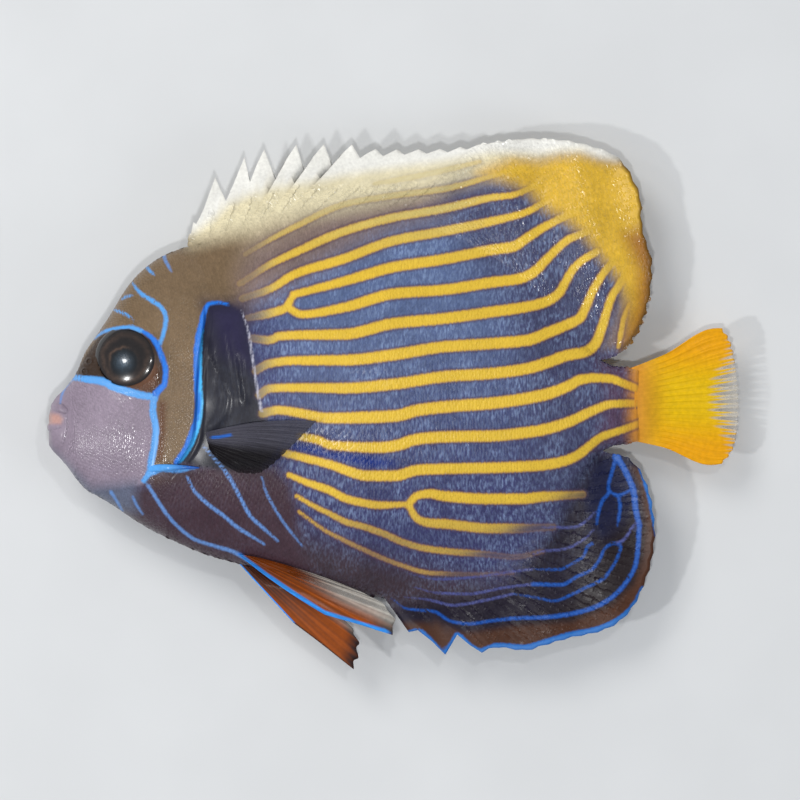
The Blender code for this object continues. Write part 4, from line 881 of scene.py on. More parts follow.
class Paint:
    """The fish's markings over its plan: ground colour, yellow stripes and blue lines.

    Each is worked out once on a fine even grid and read from it by straight mixing. A stripe
    or line is kept as the distance outside its edge, which a material turns into a crisp edge.
    """

    def __init__(self, colours):
        x0, y0, x1, y1 = PAINT_BOX
        across, up = np.arange(x0, x1 + PAINT_STEP, PAINT_STEP), np.arange(y0, y1 + PAINT_STEP, PAINT_STEP)
        self.x, self.y = np.meshgrid(across, up, indexing="ij")
        self.colours = colours
        shape = self.x.shape
        self.flank, self.border = np.ones(shape), np.ones(shape)
        self.maps = {
            "ground": self.ground(), "flank": self.flank, "border": self.border,
            "stripe": np.full(shape, FAR), "line": np.full(shape, FAR),
            "line_colour": np.zeros((*shape, 3)) + colours["deep"],
        }
        for half, points in STRIPES:
            self.draw(points, (half * 0.78, half * 1.12, half * 0.75), "stripe")
        for shade, halves, points in BLUES:
            self.draw(points, halves, "line", self.colours[shade])
        self.maps["stripe_colour"] = self.stripe_colour()

    def ground(self):
        """The flank's blue under the soft patches, and the rear dorsal edge's dark rim."""
        x, y = self.x, self.y
        low, high = self.colours["flank_low"], self.colours["flank_high"]
        colour = mix(low, high, ease(y, -22, 26)[..., None])
        front = (1 - ease(x, -28, -16)) * (1 - ease(y, 14, 26))
        colour = mix(colour, self.colours["flank_front"], 0.7 * front[..., None])
        for name, blur, outline in PATCHES:
            cover = soft_patch(x, y, outline, blur)
            colour = mix(colour, self.colours[name], cover[..., None])
            if name != "flank_rear":
                self.flank *= 1 - {"peduncle": 0.5, "belly": 0.75}.get(name, 0.92) * cover
            if name.startswith("dorsal") or name == "flank_top":
                self.border *= 1 - (0.6 if name in ("dorsal_cream", "flank_top") else 1.0) * cover
        rim = path_through(DORSAL_EDGE)(np.linspace(0.42, 0.98, 40))
        edge, _ = from_path(x, y, rim)
        wide = 0.9 + 0.9 * bell(y - 26, 7)
        colour = mix(colour, self.colours["dorsal_rim"], 0.9 * (1 - ease(edge, 0.2, wide))[..., None])
        return colour

    def draw(self, points, halves, name, colour=None):
        """Lays one line into a distance map, with its width eased between start, half way and end."""
        path = smooth_path(points)
        place = window(self.x, self.y, path, FAR)
        distance, passed = from_path(self.x[place], self.y[place], path)
        start, half_way, end = halves
        half = mix(start, half_way, ease(passed, 0.0, 0.3))
        half = mix(half, end, ease(passed, 0.7, 1.0))
        outside = distance - half
        nearer = outside < self.maps[name][place]
        self.maps[name][place] = np.minimum(outside, self.maps[name][place])
        if colour is not None:
            self.maps[name + "_colour"][place][nearer] = colour

    def stripe_colour(self):
        """Stripes are yellow, pale in front and high up, and dull or gone at the belly's rear."""
        x, y = self.x, self.y
        colour = np.zeros((*x.shape, 3)) + self.colours["stripe"]
        front = 1 - ease(x, -31, -19)
        high = ease(y, 26, 44) * (1 - ease(x, 8, 26))
        colour = mix(colour, self.colours["stripe_pale"], np.clip(0.8 * front + high, 0, 1)[..., None])
        low = (1 - ease(y, -32, -17)) * (1 - 0.5 * ease(x, -4, 10))
        colour = mix(colour, self.colours["stripe_dull"], low[..., None])
        start = 27 + 1.7 * (y + 18.5)
        lowest = 1 - ease(y, -17.5, -16)
        faded = 0.75 * ease(x, start, start + 14) * lowest
        colour = mix(colour, self.colours["stripe_dull"], faded[..., None])
        colour = mix(colour, self.colours["tail_root"], 0.7 * ease(x, 45, 49.5)[..., None])
        gone = 0.7 * (1 - ease(x, -29.5, -23)) + 0.65 * ease(x, start + 6, start + 14) * lowest
        self.border *= 1 - gone
        colour = mix(colour, self.maps["ground"], gone[..., None])
        return mix(self.maps["ground"], colour, mix(0.25, 1.0, self.border)[..., None])

    def at(self, x, y):
        """Every map's values at plan points, as colours and numbers for a mesh."""
        column = np.clip((x - PAINT_BOX[0]) / PAINT_STEP, 0, self.x.shape[0] - 1.001)
        row = np.clip((y - PAINT_BOX[1]) / PAINT_STEP, 0, self.x.shape[1] - 1.001)
        i, j = column.astype(int), row.astype(int)
        u, v = column - i, row - j
        found = {}
        for name, values in self.maps.items():
            su, sv = (u[..., None], v[..., None]) if values.ndim == 3 else (u, v)
            near = mix(values[i, j], values[i + 1, j], su)
            found[name] = mix(near, mix(values[i, j + 1], values[i + 1, j + 1], su), sv)
        colours = {name: found[name] for name in ("ground", "stripe_colour", "line_colour")}
        return colours, {name: found[name] for name in ("stripe", "line", "flank", "border")}


class Finish:
    """A Principled material, and the few kinds of node that colour and roughen it."""

    def __init__(self, name, **fixed):
        self.material = bpy.data.materials.new(name)
        self.material.use_nodes = True
        self.tree = self.material.node_tree
        self.shader = self.tree.nodes["Principled BSDF"]
        for word, value in fixed.items():
            self.set(word, value)

    def set(self, word, value):
        """Sets or links one of the shader's inputs."""
        self.put(self.shader.inputs[word.replace("_", " ")], value)

    def put(self, socket, value):
        """Links a socket to another, or sets its value."""
        if isinstance(value, bpy.types.NodeSocket):
            self.tree.links.new(value, socket)
        else:
            socket.default_value = value

    def node(self, kind, inputs, output=0, **settings):
        """A new node with its settings and inputs; gives one of its outputs."""
        node = self.tree.nodes.new("ShaderNode" + kind)
        for key, value in settings.items():
            setattr(node, key, value)
        for key, value in inputs.items():
            self.put(node.inputs[key], value)
        return node.outputs[output]

    def colour_at(self, word):
        """A colour that the mesh holds."""
        return self.node("Attribute", {}, 0, attribute_name=word)

    def number_at(self, word):
        """A number that the mesh holds."""
        return self.node("Attribute", {}, 2, attribute_name=word)

    def noise(self, per_metre, detail=2.0, stretch=(1.0, 1.0, 1.0)):
        """Noise in the object's own space, from 0 to 1, stretched along an axis where that is under 1."""
        place = self.node("TexCoord", {}, 3)
        place = self.node("Mapping", {"Vector": place, "Scale": stretch})
        return self.node("TexNoise", {"Vector": place, "Scale": per_metre, "Detail": detail}, 0)

    def step(self, value, low, high, start=0.0, end=1.0):
        """A smooth change from start below low to end above high."""
        inputs = {"Value": value, "From Min": low, "From Max": high, "To Min": start, "To Max": end}
        return self.node("MapRange", inputs, 0, interpolation_type="SMOOTHSTEP")

    def math(self, operation, first, second=0.0, third=0.0):
        """An arithmetic node."""
        return self.node("Math", {0: first, 1: second, 2: third}, 0, operation=operation)

    def blend(self, first, second, share, way="MIX"):
        """Two colours mixed by a share."""
        return self.node("Mix", {0: share, 6: first, 7: second}, 2, data_type="RGBA", blend_type=way)

    def vary(self, base, value, amount):
        """base + amount * (value - 0.5), for a value of 0 to 1."""
        return self.math("MULTIPLY_ADD", self.math("SUBTRACT", value, 0.5), amount, base)

    def product(self, first, second):
        """Two numbers multiplied."""
        return self.math("MULTIPLY", first, second)

    def shaded(self, colour, shade):
        """A colour multiplied by a number."""
        grey = self.node("CombineColor", {0: shade, 1: shade, 2: shade})
        return self.blend(colour, grey, 1.0, "MULTIPLY")

    def rise(self, height, strength):
        """Bump from a height of 0 to 1."""
        self.set("Normal", self.node("Bump", {"Height": height, "Distance": BUMP, "Strength": strength}))


def opaque(colour):
    """A linear colour with full cover."""
    return (*colour[:3], 1.0)


def painted(name, colours, scaly, gloss, roughness):
    """The fish's wet, marked skin: streaked ground, soft-edged yellow stripes and blue lines."""
    finish = Finish(
        name, Coat_Weight=gloss, Coat_Roughness=roughness, Coat_IOR=1.36, Specular_IOR_Level=0.3,
        Metallic=0.0,
    )
    step, product, vary, number_at = finish.step, finish.product, finish.vary, finish.number_at
    fine, patch = finish.noise(GRAIN, 3.0), finish.noise(BLOTCHES, 3.0)
    streak = finish.noise(STREAKS, 1.5, (1.0, 0.3, 0.6))
    shade = vary(vary(1.0, patch, 0.55), fine, 0.4)
    pale = step(streak, 0.36, 0.7, 0.0, 0.42)
    if scaly:
        # Each scale is painted darker at its sunk root, as shade, and lighter at its raised free edge, as
        # caught light
        shade = finish.math("ADD", shade, step(number_at("edge"), 0.3, 0.95, -0.1, 0.12))
        shade = vary(shade, number_at("tone"), 0.3)
        pale = product(pale, step(number_at("tone"), 0.2, 0.8, 0.6, 1.3))
    pale = product(product(pale, step(patch, 0.38, 0.62, 0.45, 1.1)), number_at("flank"))
    ground = finish.blend(finish.colour_at("ground"), opaque(colours.flank_streak), pale)
    ground = finish.shaded(ground, shade)

    ragged = vary(number_at("stripe"), streak, 0.35)
    halo = product(step(ragged, 0.1, 0.75, 0.6, 0.0), number_at("border"))
    colour = finish.blend(ground, opaque(colours.stripe_border), halo)
    calm = finish.math("MULTIPLY_ADD", finish.math("SUBTRACT", shade, 1.0), 0.4, 1.0)
    edge = product(step(ragged, -0.55, 0.1, 0.0, 0.5), number_at("border"))
    yellow = finish.blend(finish.colour_at("stripe_colour"), opaque(colours.stripe_edge), edge)
    colour = finish.blend(colour, finish.shaded(yellow, calm), step(ragged, -0.26, 0.3, 1.0, 0.0))

    ragged = vary(number_at("line"), fine, 0.4)
    core = product(step(ragged, -0.1, -0.7, 0.0, 0.14), patch)
    blue = finish.blend(finish.colour_at("line_colour"), LINE_CORE, core)
    finish.set("Base Color", finish.blend(colour, blue, step(ragged, -0.34, 0.2, 0.97, 0.0)))
    finish.set("Roughness", step(patch, 0.3, 0.7, 0.36, 0.5))
    finish.rise(fine, 0.6)
    return finish.material


def solid_skin(quads, triangles, count):
    """Faces of a closed skin: an upper sheet, its lower copy turned over, and a wall at open edges."""
    wall = open_edges(quads, triangles)
    wall = np.stack([wall[:, 1], wall[:, 0], wall[:, 0] + count, wall[:, 1] + count], -1)
    quads = np.concatenate([quads, quads[:, ::-1] + count, wall])
    return quads, np.concatenate([triangles, triangles[:, ::-1] + count])


def dress(piece, material, slot, *nodes):
    """Gives a piece its material and body, and hides the solids that it stands for; slot is not used."""
    piece.data.materials.clear()
    piece.data.materials.append(material)
    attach(piece, BODY)
    if nodes:
        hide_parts(*nodes)


def sheet_points(grid, depth, side):
    """A grid's points in space on the skin of one flank."""
    x, y, half = grid
    return np.stack([x, y, sheet_height(x, y, np.maximum(half - depth, THINNEST), side)], -1)


def between_grid(points, column, row):
    """Points inside a grid at fractional columns and rows, by straight mixing of the four round them."""
    column = np.clip(column, 0, points.shape[0] - 1.0001)
    row = np.clip(row, 0, points.shape[1] - 1.0001)
    i, j = column.astype(int), row.astype(int)
    u, v = (column - i)[..., None], (row - j)[..., None]
    near = mix(points[i, j], points[i + 1, j], u)
    return mix(near, mix(points[i, j + 1], points[i + 1, j + 1], u), v)


def scale_places(points, first, last, pitch_x, pitch_y, middle_row):
    """Fractional columns and rows of scales in a brick pattern over part of a grid.

    Columns of scales are pitch_x apart along the middle row, and in each the scales are
    pitch_y apart along the surface, shifted by half a pitch in every other column.
    """
    index = np.arange(first, last + 1)
    run = run_along(points[index, int(middle_row)])
    wanted = np.interp(np.arange(0.2 * pitch_x, run[-1], pitch_x), run, index)
    places = []
    for turn, column in enumerate(wanted):
        rows = np.arange(points.shape[1])
        length = run_along(between_grid(points, np.full(len(rows), column), rows.astype(float)))
        start = (length[int(middle_row)] + 0.5 * pitch_y * (turn % 2)) % pitch_y
        row = np.interp(np.arange(start, length[-1], pitch_y), length, rows)
        places.append(np.stack([np.full(len(row), column), row], -1))
    return np.concatenate(places)


def scale_shape():
    """One scale over a 5 by 4 grid: share along it from its root, share across, rise, and edge.

    The root is sunk, the blade rises to a rounded free edge, whose last row slopes down into
    the skin, and its sides lie lower.
    """
    across, step = np.meshgrid(np.linspace(-1, 1, 5), np.arange(4), indexing="ij")
    along = np.choose(step, [0.0, 0.5, 0.9, 1.06])
    reach = along - 0.26 * across**2 * along**2
    rise = np.choose(step, [-1.2, 0.3, 1.0, -0.8]) - 0.6 * across**2 * (step > 0)
    width = across * np.choose(step, [0.8, 1.0, 0.95, 0.78])
    return reach, width, rise, np.choose(step, [0.0, 0.5, 1.0, 0.8])


def scale_coat(name, points, places, sizes, lie, side, paint, seed):
    """One joined mesh of scales laid on a grid's points like tiles, their free edges tailward.

    Each scale's corner is root + reach * length * T + width * B + rise * N, with T along the
    lie of the coat and B across it. N points out of the skin on every grid but the anal fin's,
    whose rows run the other way, so that it points in. lie mixes the grid's two directions.
    """
    column, row = places.T
    root = between_grid(points, column, row)
    kept = ~bare(root[:, 0], root[:, 1])
    column, row, root = column[kept], row[kept], root[kept]
    along = between_grid(points, column + 0.6, row) - between_grid(points, column - 0.6, row)
    up = between_grid(points, column, row + 0.6) - between_grid(points, column, row - 0.6)
    normal = unit(np.cross(along, up) * side)
    along, up = unit(along), unit(up)
    draw = np.random.default_rng(seed)
    count = len(root)
    length, half_across, lift = sizes
    root = root + along * draw.normal(0, 0.07 * length, count)[:, None]
    root = root + up * draw.normal(0, 0.14 * half_across, count)[:, None]
    tangent = mix(along, up, lie)
    tangent = unit(tangent - normal * (tangent * normal).sum(1, keepdims=True))
    aside = np.cross(normal, tangent)
    turn = draw.normal(0, 0.07, count)[:, None]
    tangent, aside = tangent + aside * turn, aside - tangent * turn
    size = 1 + draw.normal(0, 0.09, count)[:, None]
    reach, width, rise, edge = (values.ravel() for values in scale_shape())
    stand = np.where(rise > 0, np.clip(draw.normal(1, 0.35, count), 0.4, 2.0)[:, None], 1)
    height = rise * lift * stand + (edge > 0) * width * half_across * draw.normal(0, 0.04, count)[:, None]
    corners = (
        root[:, None] + tangent[:, None] * (reach * length * size)[..., None]
        + aside[:, None] * (width * half_across * size)[..., None] + normal[:, None] * height[..., None]
    )
    size_of_one = len(reach)
    tile = grid_faces(np.arange(size_of_one).reshape(5, -1), turned=True)
    quads = (tile[None] + size_of_one * np.arange(count)[:, None, None]).reshape(-1, 4)
    corners = corners.reshape(-1, 3)
    corners[:, 2] = np.maximum(corners[:, 2], REST_LEVEL)
    colours, numbers = paint.at(corners[:, 0], corners[:, 1])
    numbers["tone"] = np.repeat(np.clip(draw.normal(0.5, 0.18, count), 0, 1), size_of_one)
    # edge runs from a scale's root to its free edge; the material paints shade and light along it
    numbers["edge"] = np.tile(edge, count)
    centre = np.stack([column / (points.shape[0] - 1), row / (points.shape[1] - 1)], -1) * 0.96 + 0.02
    spot = centre[:, None] + 0.0015 * np.stack([2 * reach - 1, width], -1)[None]
    return new_mesh(name, corners, quads, None, colours, numbers, spot.reshape(-1, 2)[quads.ravel()])


def eye_mesh(side):
    """An eyeball's front over a polar grid, closed by a ring and a point behind it.

    Its height is the plane that the face makes there plus a + b * (1 - (r / c)^2)^d.
    """
    low, rise, radius, power = EYE_DOME
    rings = np.concatenate([[0.0], np.linspace(0.12, 0.995, 60) * radius])
    r, turn = np.meshgrid(rings, turns(120), indexing="ij")
    dx, dy = r * np.cos(turn), r * np.sin(turn)
    cx, cy = EYE_CENTRE
    reach = ORBIT_RADIUS
    slope_x = (body_half(cx + reach, cy) - body_half(cx - reach, cy)) / (2 * reach)
    slope_y = (body_half(cx, cy + reach) - body_half(cx, cy - reach)) / (2 * reach)
    half = body_half(cx, cy) + slope_x * dx + slope_y * dy
    height = half + low + rise * np.clip(1 - (r / radius) ** 2, 0, 1) ** power
    x, y = cx + dx, cy + dy
    front = np.stack([x, y, middle(x, y) + side * height], -1)
    points = np.concatenate([front, front[-1:] - [0, 0, side * EYE_WALL]]).reshape(-1, 3)
    count = len(points)
    index = looped(np.arange(count).reshape(len(rings) + 1, -1))
    triangles = np.concatenate([fan(index[1], count), fan(index[-1], count + 1)[:, ::-1]])
    deepest = [cx, cy, middle(cx, cy) + side * (body_half(cx, cy) - EYE_DEPTH)]
    points = np.concatenate([points, points[:1], [deepest]])
    return points, grid_faces(index[1:], turned=side < 0), triangles[:, ::side]


def eye_colour(points, colours):
    """Colour from the lens out: blue black, a thin dull ring, a near black iris with faint rings."""
    dx, dy = points[:, 0] - EYE_CENTRE[0], points[:, 1] - EYE_CENTRE[1]
    r, turn = np.hypot(dx, dy), np.degrees(np.arctan2(dy, dx)) % 360
    lens_r = np.hypot(dx + 0.3, dy + 0.9)
    pupil, iris, gold, rim = (colours[word] for word in ("pupil", "iris", "iris_gold", "orbit"))

    def arc(centre, width):
        away = np.abs((turn - centre + 180) % 360 - 180)
        return 1 - ease(away, 0.3 * width, width)

    wobble = 0.12 * np.sin(np.radians(5 * turn)) + 0.07 * np.sin(np.radians(11 * turn + 40))
    colour = mix(pupil * 2.6, pupil, ease(lens_r, 0.2, 1.7)[:, None])
    colour = mix(colour, pupil * 0.25, ease(lens_r, 1.4, 2.6)[:, None])
    colour = mix(colour, iris, ease(lens_r + 0.4 * wobble, PUPIL_RADIUS - 0.35, PUPIL_RADIUS + 0.35)[:, None])
    ring = bell(lens_r - PUPIL_RADIUS - 0.1 - wobble, 0.3) * (0.1 + 0.9 * arc(140, 90))
    outer = bell(r - 4.6 - wobble, 0.55) * (0.45 + 0.3 * arc(200, 120) + 0.35 * arc(300, 80))
    colour = mix(colour, gold, np.clip(ring + 0.8 * outer, 0, 1)[:, None])
    return mix(colour, rim, ease(r, 5.2, 5.75)[:, None])


def tube(points, radii, sides, flat=1.0):
    """A closed tube: a ring of each radius round every point of a path, square to it, and two ends.

    flat is the ring's height over its width, where the height is in the fish's own Z. The
    faces point into the tube.
    """
    along = unit(np.gradient(points, axis=0))
    aside = np.cross(along, np.broadcast_to([0.0, 0.0, 1.0], along.shape))
    weak = np.linalg.norm(aside, axis=1, keepdims=True) < 0.05
    aside = unit(np.where(weak, [0.0, 1.0, 0.0], aside))
    up = np.cross(aside, along)
    turn = turns(sides)
    ring = aside[:, None] * np.cos(turn)[None, :, None] + up[:, None] * (flat * np.sin(turn))[None, :, None]
    body = (points[:, None] + ring * radii[:, None, None]).reshape(-1, 3)
    count = len(body)
    index = looped(np.arange(count).reshape(len(points), sides))
    caps = np.concatenate([fan(index[0], count)[:, ::-1], fan(index[-1], count + 1)])
    return np.concatenate([body, points[:1], points[-1:]]), grid_faces(index, turned=True), caps


def lip_mesh(front):
    """A lip: a thick bow round the snout, its radius falling from the middle to the mouth's corners."""
    turn = np.linspace(-math.pi / 2 - 0.1, math.pi / 2 + 0.1, 61)
    meet = np.abs(turn / (math.pi / 2 + 0.1)) ** 2.5
    x = LIP_BACK_X - (LIP_BACK_X - front[0]) * np.cos(turn)
    y = front[1] + (LIP_CORNER_Y - front[1]) * 0.55 * meet
    points = np.stack([x, y, middle(LIP_BACK_X, y) + LIP_HALF_SPAN * np.sin(turn)], -1)
    radius = LIP_RADIUS * (1 - (1 - LIP_CORNER_SHARE) * meet)
    crease = 1 + 0.03 * np.sin(19 * turn) + 0.02 * np.sin(31 * turn + 1)
    return tube(points, radius * crease, 28)


def spine_mesh(side):
    """The cheek's spine: a tapering tube from under the skin back over the gill cover's edge."""
    share = np.linspace(0, 1, 40)
    x = mix(SPINE_ROOT[0], SPINE_TIP[0], share)
    y = mix(SPINE_ROOT[1], SPINE_TIP[1], share) + 0.25 * np.sin(math.pi * share)
    radius = SPINE_RADIUS * (1 - share) ** 0.8 + 0.1
    clear = 1.75 * ease(share, 0.0, 0.45) - 0.95 + radius * ease(share, 0.3, 0.7)
    z = middle(x, y) + side * (body_half(x, y) + clear)
    return tube(np.stack([x, y, z], -1), radius, 20, 0.8)


def nostril_mesh(centre, side):
    """A nostril: a low ring whose profile rises from the skin, rounds over and dips to a pit, painted dark as
    shade.
    """
    profile = np.array(NOSTRIL_PROFILE)
    r, turn = np.meshgrid(profile[:, 0], turns(28), indexing="ij")
    x, y = centre[0] + r * np.cos(turn), centre[1] + r * np.sin(turn)
    height = body_half(x, y) + profile[:, 1:]
    points = np.stack([x, y, middle(x, y) + side * height], -1).reshape(-1, 3)
    index = looped(np.arange(len(points)).reshape(r.shape))
    bottom = fan(index[-1], len(points))[:, ::side]
    pit = [*centre, middle(*centre) + side * (body_half(*centre) - NOSTRIL_DEPTH)]
    # 1 on the ring and 0 down in the pit, by which the pit's colour is painted dark as shade
    shade = np.append(np.repeat(ease(profile[:, 0], 0.3, 0.6), r.shape[1]), 0.0)
    return (np.concatenate([points, [pit]]), grid_faces(index, turned=side > 0), bottom), shade


def rayed_plan(roots, edge, rows, bow=0.0):
    """Plan points whose columns run from roots to edge, each bent sideways by bow half way up."""
    along = edge - roots
    aside = unit(np.stack([-along[:, 1], along[:, 0]], -1))
    share = np.linspace(0, 1, rows)
    bend = (aside * np.reshape(bow, (-1, 1)))[:, None] * (4 * share * (1 - share))[:, None]
    plan = roots[:, None] + along[:, None] * share[:, None] + bend
    return plan[..., 0], plan[..., 1], share[None, :]


def fan_edge(tips, roots, per_ray, notch):
    """A rayed edge: smooth through the rays' tips, cut back between them as sin^2 of the ray's turn."""
    count = (len(tips) - 1) * per_ray + 1
    place = np.linspace(0, 1, count)
    run = np.linspace(0, 1, len(tips))
    edge = np.stack([np.interp(place, run, np.array(tips, float)[:, axis]) for axis in (0, 1)], -1)
    foot = mix(*np.array(roots, float), place[:, None])
    turn = np.arange(count) / per_ray
    return foot, edge + unit(foot - edge) * (notch * np.sin(math.pi * turn) ** 2)[:, None], turn


def ray_ridge(turn, share, branch_from):
    """Height of the rays' ridges, 0 to 1: one a ray near the root, parted in two further out."""
    phase = np.abs((turn[:, None] + 0.5) % 1 - 0.5)
    parted = 0.2 * ease(share, branch_from, 1.0)
    return bell(phase - parted, RIDGE_SPREAD)


def two_sided(x, y, upper, lower):
    """A closed leaf from a plan grid and the heights of its two faces, walled round its edge."""
    top, bottom = (np.stack([x, y, height], -1).reshape(-1, 3) for height in (upper, lower))
    quads = grid_faces(np.arange(len(top)).reshape(x.shape))
    flat = top[quads[:, [0, 1, 2]]]
    turned = np.cross(flat[:, 1] - flat[:, 0], flat[:, 2] - flat[:, 0])[:, 2].sum() < 0
    quads = quads[:, ::-1] if turned else quads
    quads, _ = solid_skin(quads, np.zeros((0, 3), int), len(top))
    return np.concatenate([top, bottom]), quads


def tail_fin_mesh(colours):
    """The tail fin: branched, jointed rays on a web that thins out and clears towards its edge."""
    tips = path_through(TAIL_EDGE)(1 - np.linspace(0, 1, TAIL_RAYS))
    foot, edge, turn = fan_edge(tips, [(TAIL_ROOT_X, y) for y in TAIL_ROOT_Y[::-1]], 12, TAIL_NOTCH)
    place = np.linspace(-1, 1, len(turn))
    x, y, share = rayed_plan(foot, edge, 72, -0.3 * place)
    flare = TAIL_FLARE * np.sin(math.pi * np.clip((share - 0.4) / 0.6, 0, 1) ** 1.5)
    y = y + flare * (place**3)[:, None]
    ridge = ray_ridge(turn, share, 0.3)
    joints = 1 - 0.2 * (np.sin(TAIL_JOINTS * share) > 0.8) * ridge
    blade = mix(*TAIL_WEB, share) + mix(*TAIL_RIDGE, share) * ridge * joints
    under = 0.9 * body_half(np.minimum(x, BACK[-1][0]), np.clip(y, -7.4, 6.5))
    under = under * (1 - place[:, None] ** 4) + 0.06
    half = mix(under, blade, ease(x, 50.2, 55.0))
    level = middle(x, y) + 0.25 * ease(x, 52, 64) * np.sin(0.55 * y + 0.2 * x)

    out = ease(np.abs(y - 1.0), 2.0, 11.0)
    colour = mix(colours["tail_root"], colours["tail_centre"], ease(x, 48, 57)[..., None])
    colour = mix(colour, colours["tail_lobe"], (out * ease(x, 50, 56))[..., None])
    streak = 1 + 0.04 * np.sin(2.9 * np.arange(len(x)))[:, None]
    colour = colour * ((0.95 + 0.05 * ridge) * streak)[..., None]
    ends = TAIL_CLEAR_X + 3.4 * out + 3.2 * ridge * (1 + 0.3 * np.sin(5.3 * turn))[:, None]
    colour = mix(colour, colours["fin_clear"], (0.85 * ease(x, ends, ends + 2.4))[..., None])
    clear = ease(x, ends, ends + 3.0) * (0.96 - 0.3 * ridge)
    return two_sided(x, y, level + half, level - half), colour, clear


def paired_fin_mesh(tips, roots, per_ray, notch, bow, side, lifts, thick):
    """A fin that lies along the flank: sunk at its root, and lifting clear of the body to its tip.

    Its height is the body's, plus its own half thickness, plus a lift that grows with the
    share of the way out, and ripples a little across its rays.
    """
    foot, edge, turn = fan_edge(tips, roots, per_ray, notch)
    place = np.linspace(0, 1, len(turn))[:, None]
    x, y, share = rayed_plan(foot, edge, 44, bow * (1 - 1.5 * place))
    ridge = ray_ridge(turn, share, 0.4)
    blade = mix(*PAIRED_WEB, share) + mix(thick, PAIRED_RIDGE_END, share) * ridge
    half = blade + PAIRED_FLESH * bell(share, 0.16) * (1 - np.abs(2 * place - 1) ** 3)
    cover = np.maximum(body_half(x, y), 1.5 * ease(y, belly_line(x) - 3.0, belly_line(x) + 1.0))
    clear = mix(SUNK_ROOT, 0.3, ease(share, 0.0, 0.22)) + mix(*lifts, share)
    ripple = 0.22 * ease(share, 0.3, 1.0) * np.sin(2.1 * turn[:, None])
    level = np.maximum(middle(x, y) + side * (cover + half + clear) + ripple, half + 0.3)
    return two_sided(x, y, level + half, level - half), x, y, share + 0 * x, place + 0 * x, ridge


class FishSizes(bpy.types.PropertyGroup):
    """How fine the coat of scales is."""

    coat_depth: bpy.props.FloatProperty(
        name="Coat depth", description="How far the skin lies inside the solids", default=0.1 * MM,
        min=0.0, max=0.5 * MM, unit="LENGTH",
    )
    flank_pitch: bpy.props.FloatVectorProperty(
        name="Flank scale spacing", description="Spacing of the flank's scales along and up the fish",
        default=(0.58 * MM, 1.12 * MM), size=2, unit="LENGTH",
    )
    head_pitch: bpy.props.FloatVectorProperty(
        name="Head scale spacing", description="Spacing of the head's scales along and up the fish",
        default=(0.46 * MM, 0.62 * MM), size=2, unit="LENGTH",
    )
    fin_pitch: bpy.props.FloatVectorProperty(
        name="Fin scale spacing", description="Spacing of the scales on the fins across and along the rays",
        default=(0.6 * MM, 0.56 * MM), size=2, unit="LENGTH",
    )
    scale_rise: bpy.props.FloatProperty(
        name="Scale rise", description="Height of a scale's free edge over the skin", default=0.07 * MM,
        min=0.0, unit="LENGTH",
    )


def tint(name, description, red, green, blue):
    """A colour that a user can change, from its screen values of 0 to 255."""
    return bpy.props.FloatVectorProperty(
        name=name, description=description, default=linear(red, green, blue), size=3, min=0, max=1,
        subtype="COLOR",
    )


